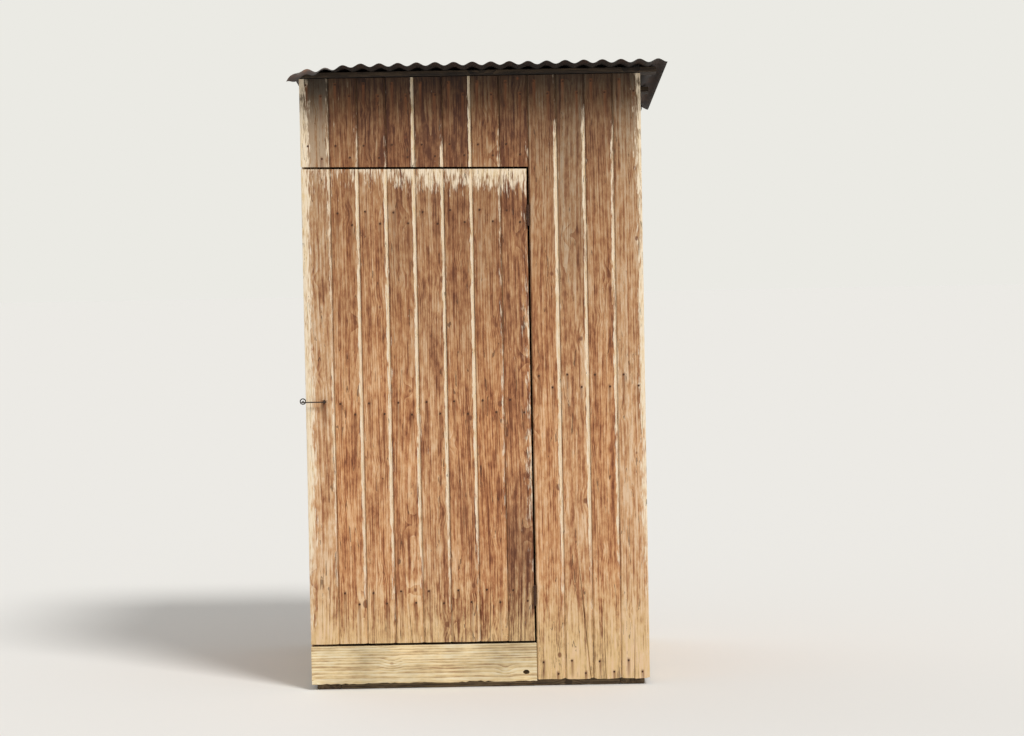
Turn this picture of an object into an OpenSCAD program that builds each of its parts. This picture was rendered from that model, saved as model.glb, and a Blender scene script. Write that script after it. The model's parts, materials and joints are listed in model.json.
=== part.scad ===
// Wooden outhouse: boarded walls on a timber frame, a flush boarded door and a sheet-iron roof.
// Millimetres. +Z is up, the front faces -Y, and the origin is the middle of the footprint's box.

/* [Walls] */
// Width of the face of one wall board
board_face = 104.8; // [95:0.1:115]
// Boards across the front
front_count = 12; // [11:1:14]
// Outer depth of the building, front boards to back boards
body_d = 1257.6; // [1000:0.1:1500]
// Thickness of the wall boards
board_t = 19; // [16:1:25]
// Height of the underside of the roof sheets over the front wall
front_h = 2288; // [2150:1:2450]
// Gap between the ground and the lower ends of the boards
ground_gap = 20; // [5:5:60]
// Width of the V joint between two boards
joint_w = 10; // [4:0.5:14]
// Depth of the V joint
joint_d = 5; // [2:0.5:8]

/* [Frame] */
// Side of a square post, and the width of a sill
post_w = 89; // [70:1:100]
// Thickness of girts, plates, rafters and the floor joist
stud_t = 38; // [35:1:45]
// Depth of girts, rafters and the floor joist
stud_d = 89; // [70:1:95]
// Height of the sills that lie on the ground
sill_h = 140; // [110:5:160]
// Thickness of the floor boards
floor_t = 22; // [18:1:30]
// Height of the lower edge of the girts
girt_z = 1090; // [1000:5:1200]

/* [Door] */
// Boards across the door
door_count = 8; // [7:1:9]
// Height of the middle of the door's top
door_top = 1928; // [1850:1:1950]
// How much higher the door's top is at its free edge than at its hinges
door_top_rise = 13; // [0:1:25]
// Height of the door's lower edge
door_bottom = 170; // [150:1:190]
// Gap above and below the door
door_gap = 8; // [6:0.5:12]
// Gap at the door's hinge edge
hinge_gap = 6; // [6:0.5:9]
// Space behind the closed door
back_clear = 5; // [5:0.5:8]
// Width of the ledges on the back of the door
ledge_w = 140; // [100:5:160]
// Thickness of the ledges and braces
ledge_t = 19; // [16:1:22]
// Width of the braces
brace_w = 89; // [60:1:100]

/* [Roof] */
// Fall of the roof to the back, in degrees
roof_slope = 4; // [2:0.5:8]
// Reach of the sheets in front of the front boards
front_eave = 130; // [100:5:180]
// Reach of the sheets behind the back boards
back_eave = 100; // [60:5:150]
// Reach of the sheets beyond the left wall
left_eave = 36; // [30:1:60]
// Width of one wave of the corrugated sheets
wave_w = 67.7; // [62:0.1:76]
// Waves between the left edges of the two sheets. Each sheet is half a wave wider, which is the lap
wave_count = 10; // [10:1:11]
// Depth of the waves
wave_d = 12.7; // [10:0.1:18]
// Thickness of the sheet iron
sheet_t = 0.8; // [0.6:0.1:1.2]
// Droop of the bent front left corner of the sheets
corner_droop = 60; // [0:1:70]
// Length of the front edge that droops
droop_run = 260; // [150:10:400]
// Length of the left edge that droops
droop_depth = 400; // [150:10:500]

/* [Ironwork] */
// Height of a hinge
hinge_h = 76; // [60:1:90]
// Thickness of a hinge leaf
leaf_t = 2; // [1.5:0.1:2]
// Radius of a hinge pin
pin_r = 2.5; // [2:0.1:2.8]
// Radius of a hinge barrel
barrel_r = 4.5; // [4:0.1:4.6]
// Running clearance of the door's barrels on the pin
pin_play = 0.05; // [0.02:0.01:0.1]
// Height of the hook
hook_z = 1074; // [1000:1:1085]
// Distance of the hook's eye from the free edge of the door
hook_in = 69; // [55:1:90]
// Radius of the hook's wire
hook_r = 2.25; // [2:0.05:2.5]
// Radius of the wire of the eyes
eye_r = 2; // [1.5:0.1:2.5]

/* [Hidden] */
$fn = 48;
sheet_w = (wave_count + 0.5) * wave_w;
roof_w = sheet_w + wave_count * wave_w;
body_w = front_count * board_face;
sheet_h = wave_d + 2 * sheet_t;

// Outer faces of the walls. The box of the whole part is centred on the origin.
left_x = -roof_w / 2 + left_eave;
right_x = left_x + body_w;
front_y = -(body_d + back_eave - front_eave + sheet_h * sin(roof_slope)) / 2;
back_y = front_y + body_d;

// Outer faces of the frame, behind the boards.
frame_left = left_x + board_t;
frame_right = right_x - board_t;
frame_front = front_y + board_t;
frame_back = back_y - board_t;
floor_z = sill_h + floor_t;

// The door hangs at its right edge, and its free edge is the corner of the building.
hang_x = left_x + door_count * board_face;
door_right = hang_x - hinge_gap;
door_back = front_y + board_t;
stop_y = door_back + back_clear;
left_post_right = frame_left + post_w;
ledge_left = left_post_right + 10;
ledge_z = [270, 975, 1680];
hinge_z = [340, 1750];

// Hinge axis, in front of the boards and in the middle of the gap.
pin_x = hang_x - hinge_gap / 2;
pin_y = front_y - 5;
leaf_depth = 25;
knuckle = hinge_h / 5;
knuckle_gap = 0.4;

// Roof lines in a section through the building, front to back.
purlin_w = 89;
purlin_t = 19;
purlin_lip = 6;
function roof_z(y) = front_h - (y - front_y) * tan(roof_slope);
function under_purlin(y) = roof_z(y) - purlin_t / cos(roof_slope);
function under_rafter(y) = under_purlin(y) - stud_d / cos(roof_slope);
// Play between sloped timbers that rest on each other.
seat_play = 0.05;
plate_t = 40;
front_plate_z = under_rafter(frame_front + post_w) - plate_t;
back_plate_z = under_rafter(frame_back) - plate_t;

// A box from its lowest corner to its highest.
module box(low, high) {
  translate(low) cube(high - low);
}

// A prism along X from x0 to x1, from points given as [y, z].
module along_x(x0, x1, points) {
  translate([x0, 0, 0]) rotate([90, 0, 90]) linear_extrude(x1 - x0) polygon(points);
}

// Everything from just under the purlins upwards, to cut the tops of the walls.
module roof_cut() {
  wall_gap = 3;
  y0 = front_y - 50;
  y1 = back_y + 50;
  top = front_h + 200;
  along_x(left_x - 10, right_x + 10, [
    [y0, under_purlin(y0) - wall_gap], [y1, under_purlin(y1) - wall_gap], [y1, top], [y0, top]
  ]);
}

// Plan of a boarded panel with its face on y = 0. The first joint is at first.
function joint_points(x) = [[x - joint_w / 2, 0], [x, joint_d], [x + joint_w / 2, 0]];
module boarded(len, first, height) {
  joints = [for (x = [first : board_face : len - joint_w]) each joint_points(x)];
  linear_extrude(height) polygon(concat([[0, 0]], joints, [[len, 0], [len, board_t], [0, board_t]]));
}

// A wall panel from the ground gap up to the roof.
module wall_panel(len, first) {
  boarded(len, first, front_h - ground_gap);
}

module left_sill() {
  color("#6b5a45") box([frame_left, frame_front, 0], [left_post_right, frame_back, sill_h]);
}

module right_sill() {
  color("#6b5a45") box([frame_right - post_w, frame_front, 0], [frame_right, frame_back, sill_h]);
}

module front_sill() {
  color("#6b5a45")
    box([left_post_right, frame_front, 0], [frame_right - post_w, frame_front + post_w, sill_h]);
}

module back_sill() {
  color("#6b5a45")
    box([left_post_right, frame_back - post_w, 0], [frame_right - post_w, frame_back, sill_h]);
}

module floor_joist() {
  middle = (frame_left + frame_right) / 2;
  color("#6b5a45")
    box([middle - stud_t / 2, frame_front + post_w, sill_h - stud_d],
        [middle + stud_t / 2, frame_back - post_w, sill_h]);
}

// The floor is notched round the posts, which stand on the sills.
module floor_boards() {
  color("#8a7355") difference() {
    box([frame_left, stop_y, sill_h], [frame_right, frame_back, floor_z]);
    front_left_post();
    front_right_post();
    back_left_post();
    back_right_post();
    door_post();
  }
}

module post(x, y, top) {
  color("#9a8262") box([x, y, sill_h], [x + post_w, y + post_w, top]);
}

// The front left post is the door's stop, and stands back by the space behind the door.
module front_left_post() {
  post(frame_left, stop_y, front_plate_z);
}

module front_right_post() {
  post(frame_right - post_w, frame_front, front_plate_z);
}

module back_left_post() {
  post(frame_left, frame_back - post_w, back_plate_z);
}

module back_right_post() {
  post(frame_right - post_w, frame_back - post_w, back_plate_z);
}

module door_post() {
  post(hang_x, frame_front, front_plate_z);
}

module door_header() {
  z = door_top + door_top_rise / 2 + door_gap + 8;
  color("#9a8262")
    box([left_post_right, frame_front, z], [hang_x, frame_front + stud_t, z + stud_d]);
}

// A top plate, planed to the slope of the rafters.
module plate(y0, y1, low) {
  color("#9a8262")
    along_x(frame_left, frame_right, [
      [y0, low], [y1, low], [y1, under_rafter(y1) - seat_play], [y0, under_rafter(y0) - seat_play]
    ]);
}

module front_plate() {
  plate(frame_front, frame_front + post_w, front_plate_z);
}

module back_plate() {
  plate(frame_back - post_w, frame_back, back_plate_z);
}

module side_girt(x) {
  color("#9a8262")
    box([x, stop_y + post_w, girt_z], [x + stud_t, frame_back - post_w, girt_z + stud_d]);
}

module left_girt() {
  side_girt(frame_left);
}

module right_girt() {
  color("#9a8262")
    box([frame_right - stud_t, frame_front + post_w, girt_z],
        [frame_right, frame_back - post_w, girt_z + stud_d]);
}

module back_girt() {
  color("#9a8262")
    box([left_post_right, frame_back - stud_t, girt_z],
        [frame_right - post_w, frame_back, girt_z + stud_d]);
}

module front_girt() {
  color("#9a8262")
    box([hang_x + post_w, frame_front, girt_z],
        [frame_right - post_w, frame_front + stud_t, girt_z + stud_d]);
}

module rafter(x) {
  color("#9a8262")
    along_x(x, x + stud_t, [
      [frame_front, under_rafter(frame_front)], [frame_back, under_rafter(frame_back)],
      [frame_back, under_purlin(frame_back)], [frame_front, under_purlin(frame_front)]
    ]);
}

module left_rafter() {
  rafter(frame_left);
}

module middle_rafter() {
  rafter((frame_left + frame_right - stud_t) / 2);
}

module right_rafter() {
  rafter(frame_right - stud_t);
}

// Three flat boards across the rafters carry the sheets. They end flush with the left wall.
module purlins() {
  starts = [front_y - purlin_lip, (front_y + back_y - purlin_w) / 2, back_y + purlin_lip - purlin_w];
  color("#7d6a50") for (y = starts)
    along_x(left_x, right_x + 60, [
      [y, under_purlin(y) + seat_play], [y + purlin_w, under_purlin(y + purlin_w) + seat_play],
      [y + purlin_w, roof_z(y + purlin_w)], [y, roof_z(y)]
    ]);
}

// Frame of the roof: Y runs down the slope from the front boards' face, Z is square to the sheets.
module on_roof() {
  translate([0, front_y, front_h]) rotate([-roof_slope, 0, 0]) children();
}

// Height of a sheet's underside across its waves, in eight steps a wave.
wave_steps = 8;
function wave(x) = wave_d * (1 + cos(360 * x / wave_w)) / 2;
sheet_front = -front_eave / cos(roof_slope);
sheet_back = (body_d + back_eave) / cos(roof_slope);
across = [for (i = [0 : sheet_w * wave_steps / wave_w]) i * wave_w / wave_steps];

module right_roof_sheet() {
  count = len(across);
  lower = [for (x = across) [x, wave(x)]];
  upper = [for (i = [count - 1 : -1 : 0]) [across[i], wave(across[i]) + sheet_t]];
  color("#4a3426") on_roof() translate([roof_w / 2 - sheet_w, sheet_back, 0])
    rotate([90, 0, 0]) linear_extrude(sheet_back - sheet_front) polygon(concat(lower, upper));
}

// Falls from 1 to 0 as t goes from 0 to 1.
function fade(t) = min(max(1 - t, 0), 1);
// Drop of a point of the left sheet, x from its left edge and y down the slope. Over the walls it
// is nothing, so only the eave and the strip beyond the left wall bend.
function droop(x, y) =
  corner_droop * pow(fade(x / droop_run + (y - sheet_front) / droop_depth), 1.6)
  * max(fade((y - sheet_front) / (front_eave - purlin_lip)), fade(x / left_eave));
// The left sheet laps over the right one, and its front left corner is bent down.
module left_roof_sheet() {
  steps = [0, 0.25, 0.5, 0.75, 1];
  rows = concat(
    [for (k = steps) sheet_front * (1 - k) - purlin_lip * k],
    [for (k = [1 : 4]) (sheet_front + droop_depth) * k / 4],
    [sheet_back]
  );
  nx = len(across);
  ny = len(rows);
  points = [for (lift = [0, sheet_t]) for (y = rows) for (x = across)
    [x, y + droop(x, y) * sin(roof_slope), wave(x) + lift - droop(x, y) * cos(roof_slope)]];
  function at(i, j, k) = k * nx * ny + j * nx + i;
  function half_quads(a, b, c, d) = [[a, b, c], [a, c, d]];
  under = [for (j = [0 : ny - 2]) for (i = [0 : nx - 2]) each
    half_quads(at(i, j, 0), at(i + 1, j, 0), at(i + 1, j + 1, 0), at(i, j + 1, 0))];
  over = [for (j = [0 : ny - 2]) for (i = [0 : nx - 2]) each
    half_quads(at(i, j, 1), at(i, j + 1, 1), at(i + 1, j + 1, 1), at(i + 1, j, 1))];
  front = [for (i = [0 : nx - 2]) each
    half_quads(at(i, 0, 0), at(i, 0, 1), at(i + 1, 0, 1), at(i + 1, 0, 0))];
  back = [for (i = [0 : nx - 2]) each
    half_quads(at(i, ny - 1, 0), at(i + 1, ny - 1, 0), at(i + 1, ny - 1, 1), at(i, ny - 1, 1))];
  left = [for (j = [0 : ny - 2]) each
    half_quads(at(0, j, 0), at(0, j + 1, 0), at(0, j + 1, 1), at(0, j, 1))];
  right = [for (j = [0 : ny - 2]) each
    half_quads(at(nx - 1, j, 0), at(nx - 1, j, 1), at(nx - 1, j + 1, 1), at(nx - 1, j + 1, 0))];
  color("#4a3426") on_roof() translate([-roof_w / 2, 0, sheet_t])
    polyhedron(points, concat(under, over, front, back, left, right));
}

// The fixed boards beside the door, full height.
module front_right_wall() {
  color("#b88963") difference() {
    translate([hang_x, front_y, ground_gap]) wall_panel(right_x - hang_x, board_face);
    roof_cut();
  }
}

// Half plane above a line that rises to the free edge of the door, as a prism through the boards.
module above_door_line(z) {
  rise = door_top_rise / 2;
  top = front_h + 50;
  translate([0, front_y + board_t + 1, 0]) rotate([90, 0, 0]) linear_extrude(board_t + 2)
    polygon([[left_x - 1, z + rise], [hang_x + 1, z - rise], [hang_x + 1, top], [left_x - 1, top]]);
}

// The boards over the door.
module front_header_wall() {
  color("#8a6242") intersection() {
    above_door_line(door_top + door_gap);
    difference() {
      translate([left_x, front_y, ground_gap]) wall_panel(hang_x - left_x, board_face);
      roof_cut();
    }
  }
}

module kick_board() {
  color("#cbb48c")
    box([left_x, front_y, ground_gap], [hang_x, frame_front, door_bottom - door_gap]);
}

// Boards of the side walls are laid from the front, and the last one is ripped to fit.
module left_wall() {
  run = frame_back - stop_y;
  color("#b08560") difference() {
    translate([left_x, frame_back, ground_gap]) rotate([0, 0, -90])
      wall_panel(run, run - floor(run / board_face) * board_face);
    roof_cut();
  }
}

module right_wall() {
  color("#b08560") difference() {
    translate([right_x, frame_front, ground_gap]) rotate([0, 0, 90])
      wall_panel(frame_back - frame_front, board_face);
    roof_cut();
  }
}

module back_wall() {
  color("#b08560") difference() {
    translate([right_x, back_y, ground_gap]) rotate([0, 0, 180]) wall_panel(body_w, board_face);
    roof_cut();
  }
}

// A ring of round wire about Z.
module ring(ring_r, wire_r) {
  rotate_extrude() translate([ring_r, 0]) circle(wire_r);
}

// A screw eye whose shoulder sits on the plane z = 0 and whose ring stands off it.
module screw_eye(ring_r, stand) {
  cylinder(h = 1.2, r = eye_r + 2.5);
  cylinder(h = stand - ring_r, r = eye_r);
  translate([0, 0, stand]) rotate([0, 90, 0]) ring(ring_r, eye_r);
}

// The eye on the left wall, which the end of the hook slides into.
wall_eye_r = 10;
hook_out = 14;
wall_eye_y = stop_y + 24;
module wall_eye() {
  color("#2b2623") translate([left_x, wall_eye_y, hook_z]) rotate([0, -90, 0]) rotate([0, 0, 90])
    screw_eye(wall_eye_r, hook_out);
}

// The eye on the face of the door, which the hook hangs in.
door_eye_r = 7;
door_eye_out = 10;
hook_x = left_x + hook_in;
module hook_eye() {
  color("#2b2623") translate([hook_x, front_y, hook_z]) rotate([90, 0, 0])
    screw_eye(door_eye_r, door_eye_out);
}

// A wire hook: a loop round the eye, a shank past the corner, and an end along the left wall.
hook_loop_r = 6.5;
hook_bend = 9;
module hook() {
  hook_y = front_y - door_eye_out - door_eye_r;
  end_x = left_x - hook_out;
  tip_y = wall_eye_y + 14;
  color("#5f564e") translate([0, 0, hook_z]) {
    translate([hook_x, hook_y, 0]) ring(hook_loop_r, hook_r);
    translate([end_x + hook_bend, hook_y, 0]) rotate([0, 90, 0])
      cylinder(h = hook_x - hook_loop_r - end_x - hook_bend, r = hook_r);
    translate([end_x + hook_bend, hook_y + hook_bend, 0]) rotate([0, 0, 180])
      rotate_extrude(angle = 90) translate([hook_bend, 0]) circle(hook_r);
    translate([end_x, hook_y + hook_bend, 0]) rotate([-90, 0, 0])
      cylinder(h = tip_y - hook_y - hook_bend, r = hook_r);
    translate([end_x, tip_y, 0]) sphere(hook_r);
  }
}

// A hinge leaf: a plate in the gap, with barrels at the given knuckles, bored for the pin.
module leaf(z, x0, knuckles, bore_r) {
  base = z - hinge_h / 2;
  color("#3a2c24") difference() {
    union() {
      box([x0, front_y, base], [x0 + leaf_t, front_y + leaf_depth, base + hinge_h]);
      for (k = knuckles) {
        low = base + k * knuckle + (k == 0 ? 0 : knuckle_gap / 2);
        high = base + (k + 1) * knuckle - (k == 4 ? 0 : knuckle_gap / 2);
        translate([pin_x, pin_y, low]) cylinder(h = high - low, r = barrel_r);
        box([x0, pin_y, low], [x0 + leaf_t, front_y + 1, high]);
      }
    }
    translate([pin_x, pin_y, base - 1]) cylinder(h = hinge_h + 2, r = bore_r);
  }
}

module upper_frame_leaf() {
  leaf(hinge_z[1], hang_x - leaf_t, [0, 2, 4], pin_r);
}

module lower_frame_leaf() {
  leaf(hinge_z[0], hang_x - leaf_t, [0, 2, 4], pin_r);
}

module upper_door_leaf() {
  leaf(hinge_z[1], door_right, [1, 3], pin_r + pin_play);
}

module lower_door_leaf() {
  leaf(hinge_z[0], door_right, [1, 3], pin_r + pin_play);
}

// The pins, one to a hinge, each with a domed head on its barrel.
module hinge_pins() {
  color("#3a2c24") for (z = hinge_z) translate([pin_x, pin_y, z - hinge_h / 2]) {
    cylinder(h = hinge_h, r = pin_r);
    translate([0, 0, hinge_h]) cylinder(h = 1.5, r = pin_r + 1.2);
  }
}

module door_boards() {
  color("#b58a66") difference() {
    translate([left_x, front_y, door_bottom])
      boarded(door_right - left_x, board_face, front_h - door_bottom);
    above_door_line(door_top);
  }
}

module ledge(z) {
  color("#8f7658") box([ledge_left, door_back, z], [door_right, door_back + ledge_t, z + ledge_w]);
}

module upper_ledge() {
  ledge(ledge_z[2]);
}

module middle_ledge() {
  ledge(ledge_z[1]);
}

module lower_ledge() {
  ledge(ledge_z[0]);
}

// A brace between two ledges, rising from the hinge side to the free side.
module brace(low, high) {
  inset = 25;
  rise = high - low;
  run = door_right - ledge_left - 2 * inset;
  cut = brace_w * sqrt(rise * rise + run * run) / rise;
  color("#8f7658") translate([0, door_back + ledge_t, 0]) rotate([90, 0, 0]) linear_extrude(ledge_t)
    polygon([
      [door_right - inset - cut, low], [door_right - inset, low],
      [ledge_left + inset + cut, high], [ledge_left + inset, high]
    ]);
}

module upper_brace() {
  brace(ledge_z[1] + ledge_w, ledge_z[2]);
}

module lower_brace() {
  brace(ledge_z[0] + ledge_w, ledge_z[1]);
}

left_sill();
right_sill();
front_sill();
back_sill();
floor_joist();
floor_boards();
front_left_post();
front_right_post();
back_left_post();
back_right_post();
door_post();
door_header();
front_plate();
back_plate();
left_girt();
right_girt();
back_girt();
front_girt();
left_rafter();
middle_rafter();
right_rafter();
purlins();
left_roof_sheet();
right_roof_sheet();
front_right_wall();
front_header_wall();
kick_board();
left_wall();
right_wall();
back_wall();
wall_eye();
upper_frame_leaf();
lower_frame_leaf();
hinge_pins();
door_boards();
upper_ledge();
middle_ledge();
lower_ledge();
upper_brace();
lower_brace();
upper_door_leaf();
lower_door_leaf();
hook_eye();
hook();
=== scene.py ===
"""Dresses the wooden outhouse: separate weathered boards, aged timbers, rusted sheets and ironwork."""

import json
import math
import random

import bmesh
import bpy
import numpy as np
from mathutils import Matrix, Vector, noise


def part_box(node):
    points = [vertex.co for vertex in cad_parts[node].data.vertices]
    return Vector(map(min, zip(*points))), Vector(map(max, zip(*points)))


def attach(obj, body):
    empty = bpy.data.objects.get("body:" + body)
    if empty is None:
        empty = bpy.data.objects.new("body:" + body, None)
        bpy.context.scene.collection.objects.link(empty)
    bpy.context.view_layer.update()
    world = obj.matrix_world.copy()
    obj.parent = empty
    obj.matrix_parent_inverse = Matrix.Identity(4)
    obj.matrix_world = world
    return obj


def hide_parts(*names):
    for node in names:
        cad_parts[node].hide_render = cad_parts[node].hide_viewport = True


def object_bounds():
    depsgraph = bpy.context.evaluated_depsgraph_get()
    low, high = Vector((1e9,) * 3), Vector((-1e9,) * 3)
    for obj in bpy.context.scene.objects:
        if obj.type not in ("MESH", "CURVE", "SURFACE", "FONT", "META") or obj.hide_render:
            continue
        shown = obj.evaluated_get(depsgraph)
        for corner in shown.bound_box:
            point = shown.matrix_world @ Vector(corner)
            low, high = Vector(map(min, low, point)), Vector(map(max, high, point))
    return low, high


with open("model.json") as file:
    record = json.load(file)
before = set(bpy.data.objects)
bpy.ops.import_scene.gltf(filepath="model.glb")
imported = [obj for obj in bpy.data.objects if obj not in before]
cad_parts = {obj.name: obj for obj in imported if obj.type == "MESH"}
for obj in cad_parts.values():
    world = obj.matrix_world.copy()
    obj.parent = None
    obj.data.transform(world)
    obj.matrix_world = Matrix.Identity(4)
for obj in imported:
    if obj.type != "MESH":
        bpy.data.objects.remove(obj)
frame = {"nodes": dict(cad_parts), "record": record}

bl_info = {
    "name": "Wooden Outhouse",
    "version": (1, 0, 0),
    "blender": (4, 5, 0),
    "location": "3D View > Sidebar > Outhouse",
    "description": "Boards, timbers, roof sheets and ironwork of a small weathered outhouse",
    "category": "Object",
}

CAD_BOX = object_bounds()
NEAR = 1e-5

# Outer faces of the walls, taken from the frame. A wall's own space has x along it, y into it and z up.
LEFT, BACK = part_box("back_wall")[0].x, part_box("back_wall")[1].y
RIGHT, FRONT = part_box("back_wall")[1].x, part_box("door_boards")[0].y
FRONT_PLACE = Matrix.Translation((LEFT, FRONT, 0))
HINGE_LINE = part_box("front_right_wall")[0].x
BOARD_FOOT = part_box("back_wall")[0].z
BOARD_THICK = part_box("door_boards")[1].y - FRONT
TOP = CAD_BOX[1].z
FRONT_BOARDS = 12
DOOR_BOARDS = 8
FLOOR_BOARDS = 9
BOARD_FACE = (RIGHT - LEFT) / FRONT_BOARDS

# The two faces of a tongue and its middle, from the board's face, and the rounding of a square edge.
TONGUE_DEPTHS = (0.42 * BOARD_THICK, 0.72 * BOARD_THICK)
TONGUE_MIDDLE = sum(TONGUE_DEPTHS) / 2
SQUARE_ROUND = 0.0025

# How unevenly a board has dried: how far its face stands back at random, how far its edges stray, how
# deep a split is, and how far its lips stray.
FACE_UNEVEN = 0.0006
EDGE_STRAY = 0.0005
SPLIT_DEPTH = 0.34 * BOARD_THICK
SPLIT_STRAY = 0.0011

# The roof falls to the back and reaches EAVE past the front boards. Its outer rows of nails are
# PURLIN_INSET in from the walls' faces. The gap over the door rises to the door's free edge.
ROOF_SLOPE = math.radians(4)
SHEET_WAVES = 10.5
SHEET_THICK = 0.0008
WAVE_WIDTH = (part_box("right_roof_sheet")[1].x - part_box("right_roof_sheet")[0].x) / SHEET_WAVES
WAVE_DEPTH = 0.0127
WAVE_POINTS = 16
ROOF_CRESTS = 20
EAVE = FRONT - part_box("right_roof_sheet")[0].y
PURLIN_INSET = 0.0385
DOOR_GAP = 0.008

# How wide the strip of painted shade along an eave is, and how far rust has eaten into the rims of the
# sheets.
SHADED_EAVE_STRIP = 0.07
EATEN_RIM = 0.003

# Places of the nails, at the middles of the timbers behind the boards.
LEDGES = ("lower_ledge", "middle_ledge", "upper_ledge")
LEDGE_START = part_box("lower_ledge")[0].x
DOOR_NAILS = [sum(c.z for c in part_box(n)) / 2 for n in LEDGES]
WALL_NAILS = [sum(c.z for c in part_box(n)) / 2 for n in ("left_sill", "left_girt")]
HEADER_NAILS = [sum(c.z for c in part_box("door_header")) / 2]
TOP_NAIL_DROP = 0.045
NAIL_STAGGER = 0.022

# How light and how red each board of the front is beside the others, from the left corner.
FRONT_TONES = [0.75, 0.1, 0.15, 0.05, -0.1, -0.3, 0.0, -0.6, 0.15, 0.25, 0.1, 0.7]
FRONT_REDS = [-0.9, 0.5, 0.1, 0.2, -0.4, 0.1, 0.4, 0.0, 0.2, -0.5, 0.1, -0.6]

# The boards over the door are darker, apart from the one at the corner: a painted shade of the eave, and
# stain kept out of the sun.
HEADER_TONES = [1.7, -0.2, -1.1, -1.1, -0.9, -0.8, -0.1, -0.7]

# How damp the upper and the lower part of each board of the door is, how far the stain is rubbed off its
# top, and how damp the upper part of each board beside the door is.
DOOR_DAMP_HIGH = [0.0, 0.25, 0.0, 0.35, 0.15, 0.35, 0.4, 0.1]
DOOR_DAMP_LOW = [0.0, 0.0, 0.0, 0.0, 0.15, 0.1, 0.0, 0.75]
DOOR_RUB = [0.58, 0.48, 0.56, 0.64, 0.78, 0.70, 0.92, 0.86]
RIGHT_DAMP = [0.3, 0.45, 0.2, 0.0]

# Splits that show on the front, by the number of the board in its wall: where the split is at the foot and
# at its end, as shares of the board's width, how high it reaches, and half its width at the foot.
DOOR_SPLITS = {3: (0.6, 0.5, 0.16, 0.0012), 6: (0.35, 0.42, 0.22, 0.0014)}
RIGHT_SPLITS = {
    1: (0.93, 0.52, 0.47, 0.0036), 2: (0.45, 0.40, 0.26, 0.0020), 3: (0.45, 0.5, 0.24, 0.0018)}

# How strongly the pale arris shows at each joint of a wall, from the wall's left end.
DOOR_WEAR = [1.0, 0.55, 0.9, 0.95, 1.0, 0.95, 1.0, 0.5, 0.45]
HEADER_WEAR = [1.1, 0.5, 0.55, 0.4, 1.2, 0.75, 1.2, 0.65, 0.4]
RIGHT_WEAR = [0.5, 1.0, 0.95, 0.8, 0.9]
PLAIN_WEAR = [0.7, 0.5, 0.85, 0.6, 0.45, 0.75, 0.55, 0.9, 0.5, 0.7, 0.55, 0.8, 0.7]

# Marks of the wood: how wide one is in mm, its width as a share of its length along the grain, and the
# detail and roughness of its noise.
GRAIN_MARKS = {
    "fibre": (3.03, 0.05, 3, 0.65),
    "streak": (13.3, 0.05, 2, 0.50),
    "fleck": (16.1, 0.42, 4, 0.62),
    "torn": (4.17, 0.09, 3, 0.60),
    "nick": (18.2, 0.35, 3, 0.60),
    "check": (20.8, 0.05, 1, 0.40),
    "blotch": (111, 0.35, 3, 0.55),
}
GRIME_WIDTH = 200
KNOT_SPACING = 0.4

# Scales, broad patches and flakes of zinc on the rusted sheets: how wide one is in mm, and the detail and
# roughness of its noise.
SHEET_MARKS = ((29.4, 7, 0.70), (250, 3, 0.55), (91, 8, 0.72))

# How light a wall is at each height. It is darkest under the eave: a painted shade of the eave, and a stain
# that has faded less there.
EAVE_SHADE_AND_STAIN = [(0.0, 1.0), (1.00, 1.0), (1.40, 0.88), (1.72, 0.78), (1.93, 0.68), (1.98, 0.59), (2.08, 0.47),
               (2.16, 0.34), (2.24, 0.15), (2.29, 0.09)]

# How strong the rust is at distances above a nail.
NAIL_RUN = [(-0.20, 0.0), (-0.05, 0.6), (0.002, 1.0), (0.009, 0.0)]

# Each lamp's azimuth, elevation and spread in degrees, and its strength.
LAMPS = {"key": (38, 48, 16, 2.1), "fill": (-145, 35, 60, 0.35)}


def hex_colour(text):
    """Turns an sRGB hex value into a linear colour with alpha 1."""
    parts = [int(text[i:i + 2], 16) / 255 for i in (0, 2, 4)]
    return tuple(p / 12.92 if p <= 0.04045 else ((p + 0.055) / 1.055) ** 2.4 for p in parts) + (1.0,)


def colour_property(label, description, text):
    return bpy.props.FloatVectorProperty(
        name=label, description=description, default=hex_colour(text), subtype="COLOR", size=4, min=0, max=1)


def length_property(label, description, default):
    return bpy.props.FloatProperty(
        name=label, description=description, default=default, unit="LENGTH", min=0)


def angle_property(label, description, degrees):
    return bpy.props.FloatProperty(
        name=label, description=description, default=math.radians(degrees), subtype="ANGLE")


class BoardSizes(bpy.types.PropertyGroup):
    chamfer: length_property("Chamfer", "Width of the V-joint chamfer on each edge of a board", 0.005)
    gap: length_property("Gap", "Usual gap between two shrunken boards", 0.0026)
    tongue: length_property("Tongue", "Reach of the tongue into the next board", 0.006)
    fade: length_property("Worn edge", "Width of the pale worn strip beside a chamfer", 0.008)
    row: length_property("Row", "Spacing of the rows of points up a board", 0.06)
    cup: length_property("Cup", "Most that a board's middle stands back from its edges", 0.0012)
    ragged: length_property("Ragged end", "Most that is worn off the foot of a board", 0.009)


class NailSizes(bpy.types.PropertyGroup):
    radius: length_property("Radius", "Radius of a nail head", 0.0038)
    proud: length_property("Proud", "How far a head stands off the board", 0.0009)
    inset: length_property("Inset", "Distance of a nail from the edge of its board", 0.026)
    washer: length_property("Washer", "Radius of the washer of a roof nail", 0.009)


class RoofSizes(bpy.types.PropertyGroup):
    droop: length_property("Droop", "Drop of the bent front left corner", 0.060)
    droop_run: length_property("Droop run", "Length of the front edge that droops", 0.260)
    droop_depth: length_property("Droop depth", "Length of the left edge that droops", 0.400)
    dent: length_property("Dents", "Depth of the dents in the sheets", 0.0012)


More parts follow.
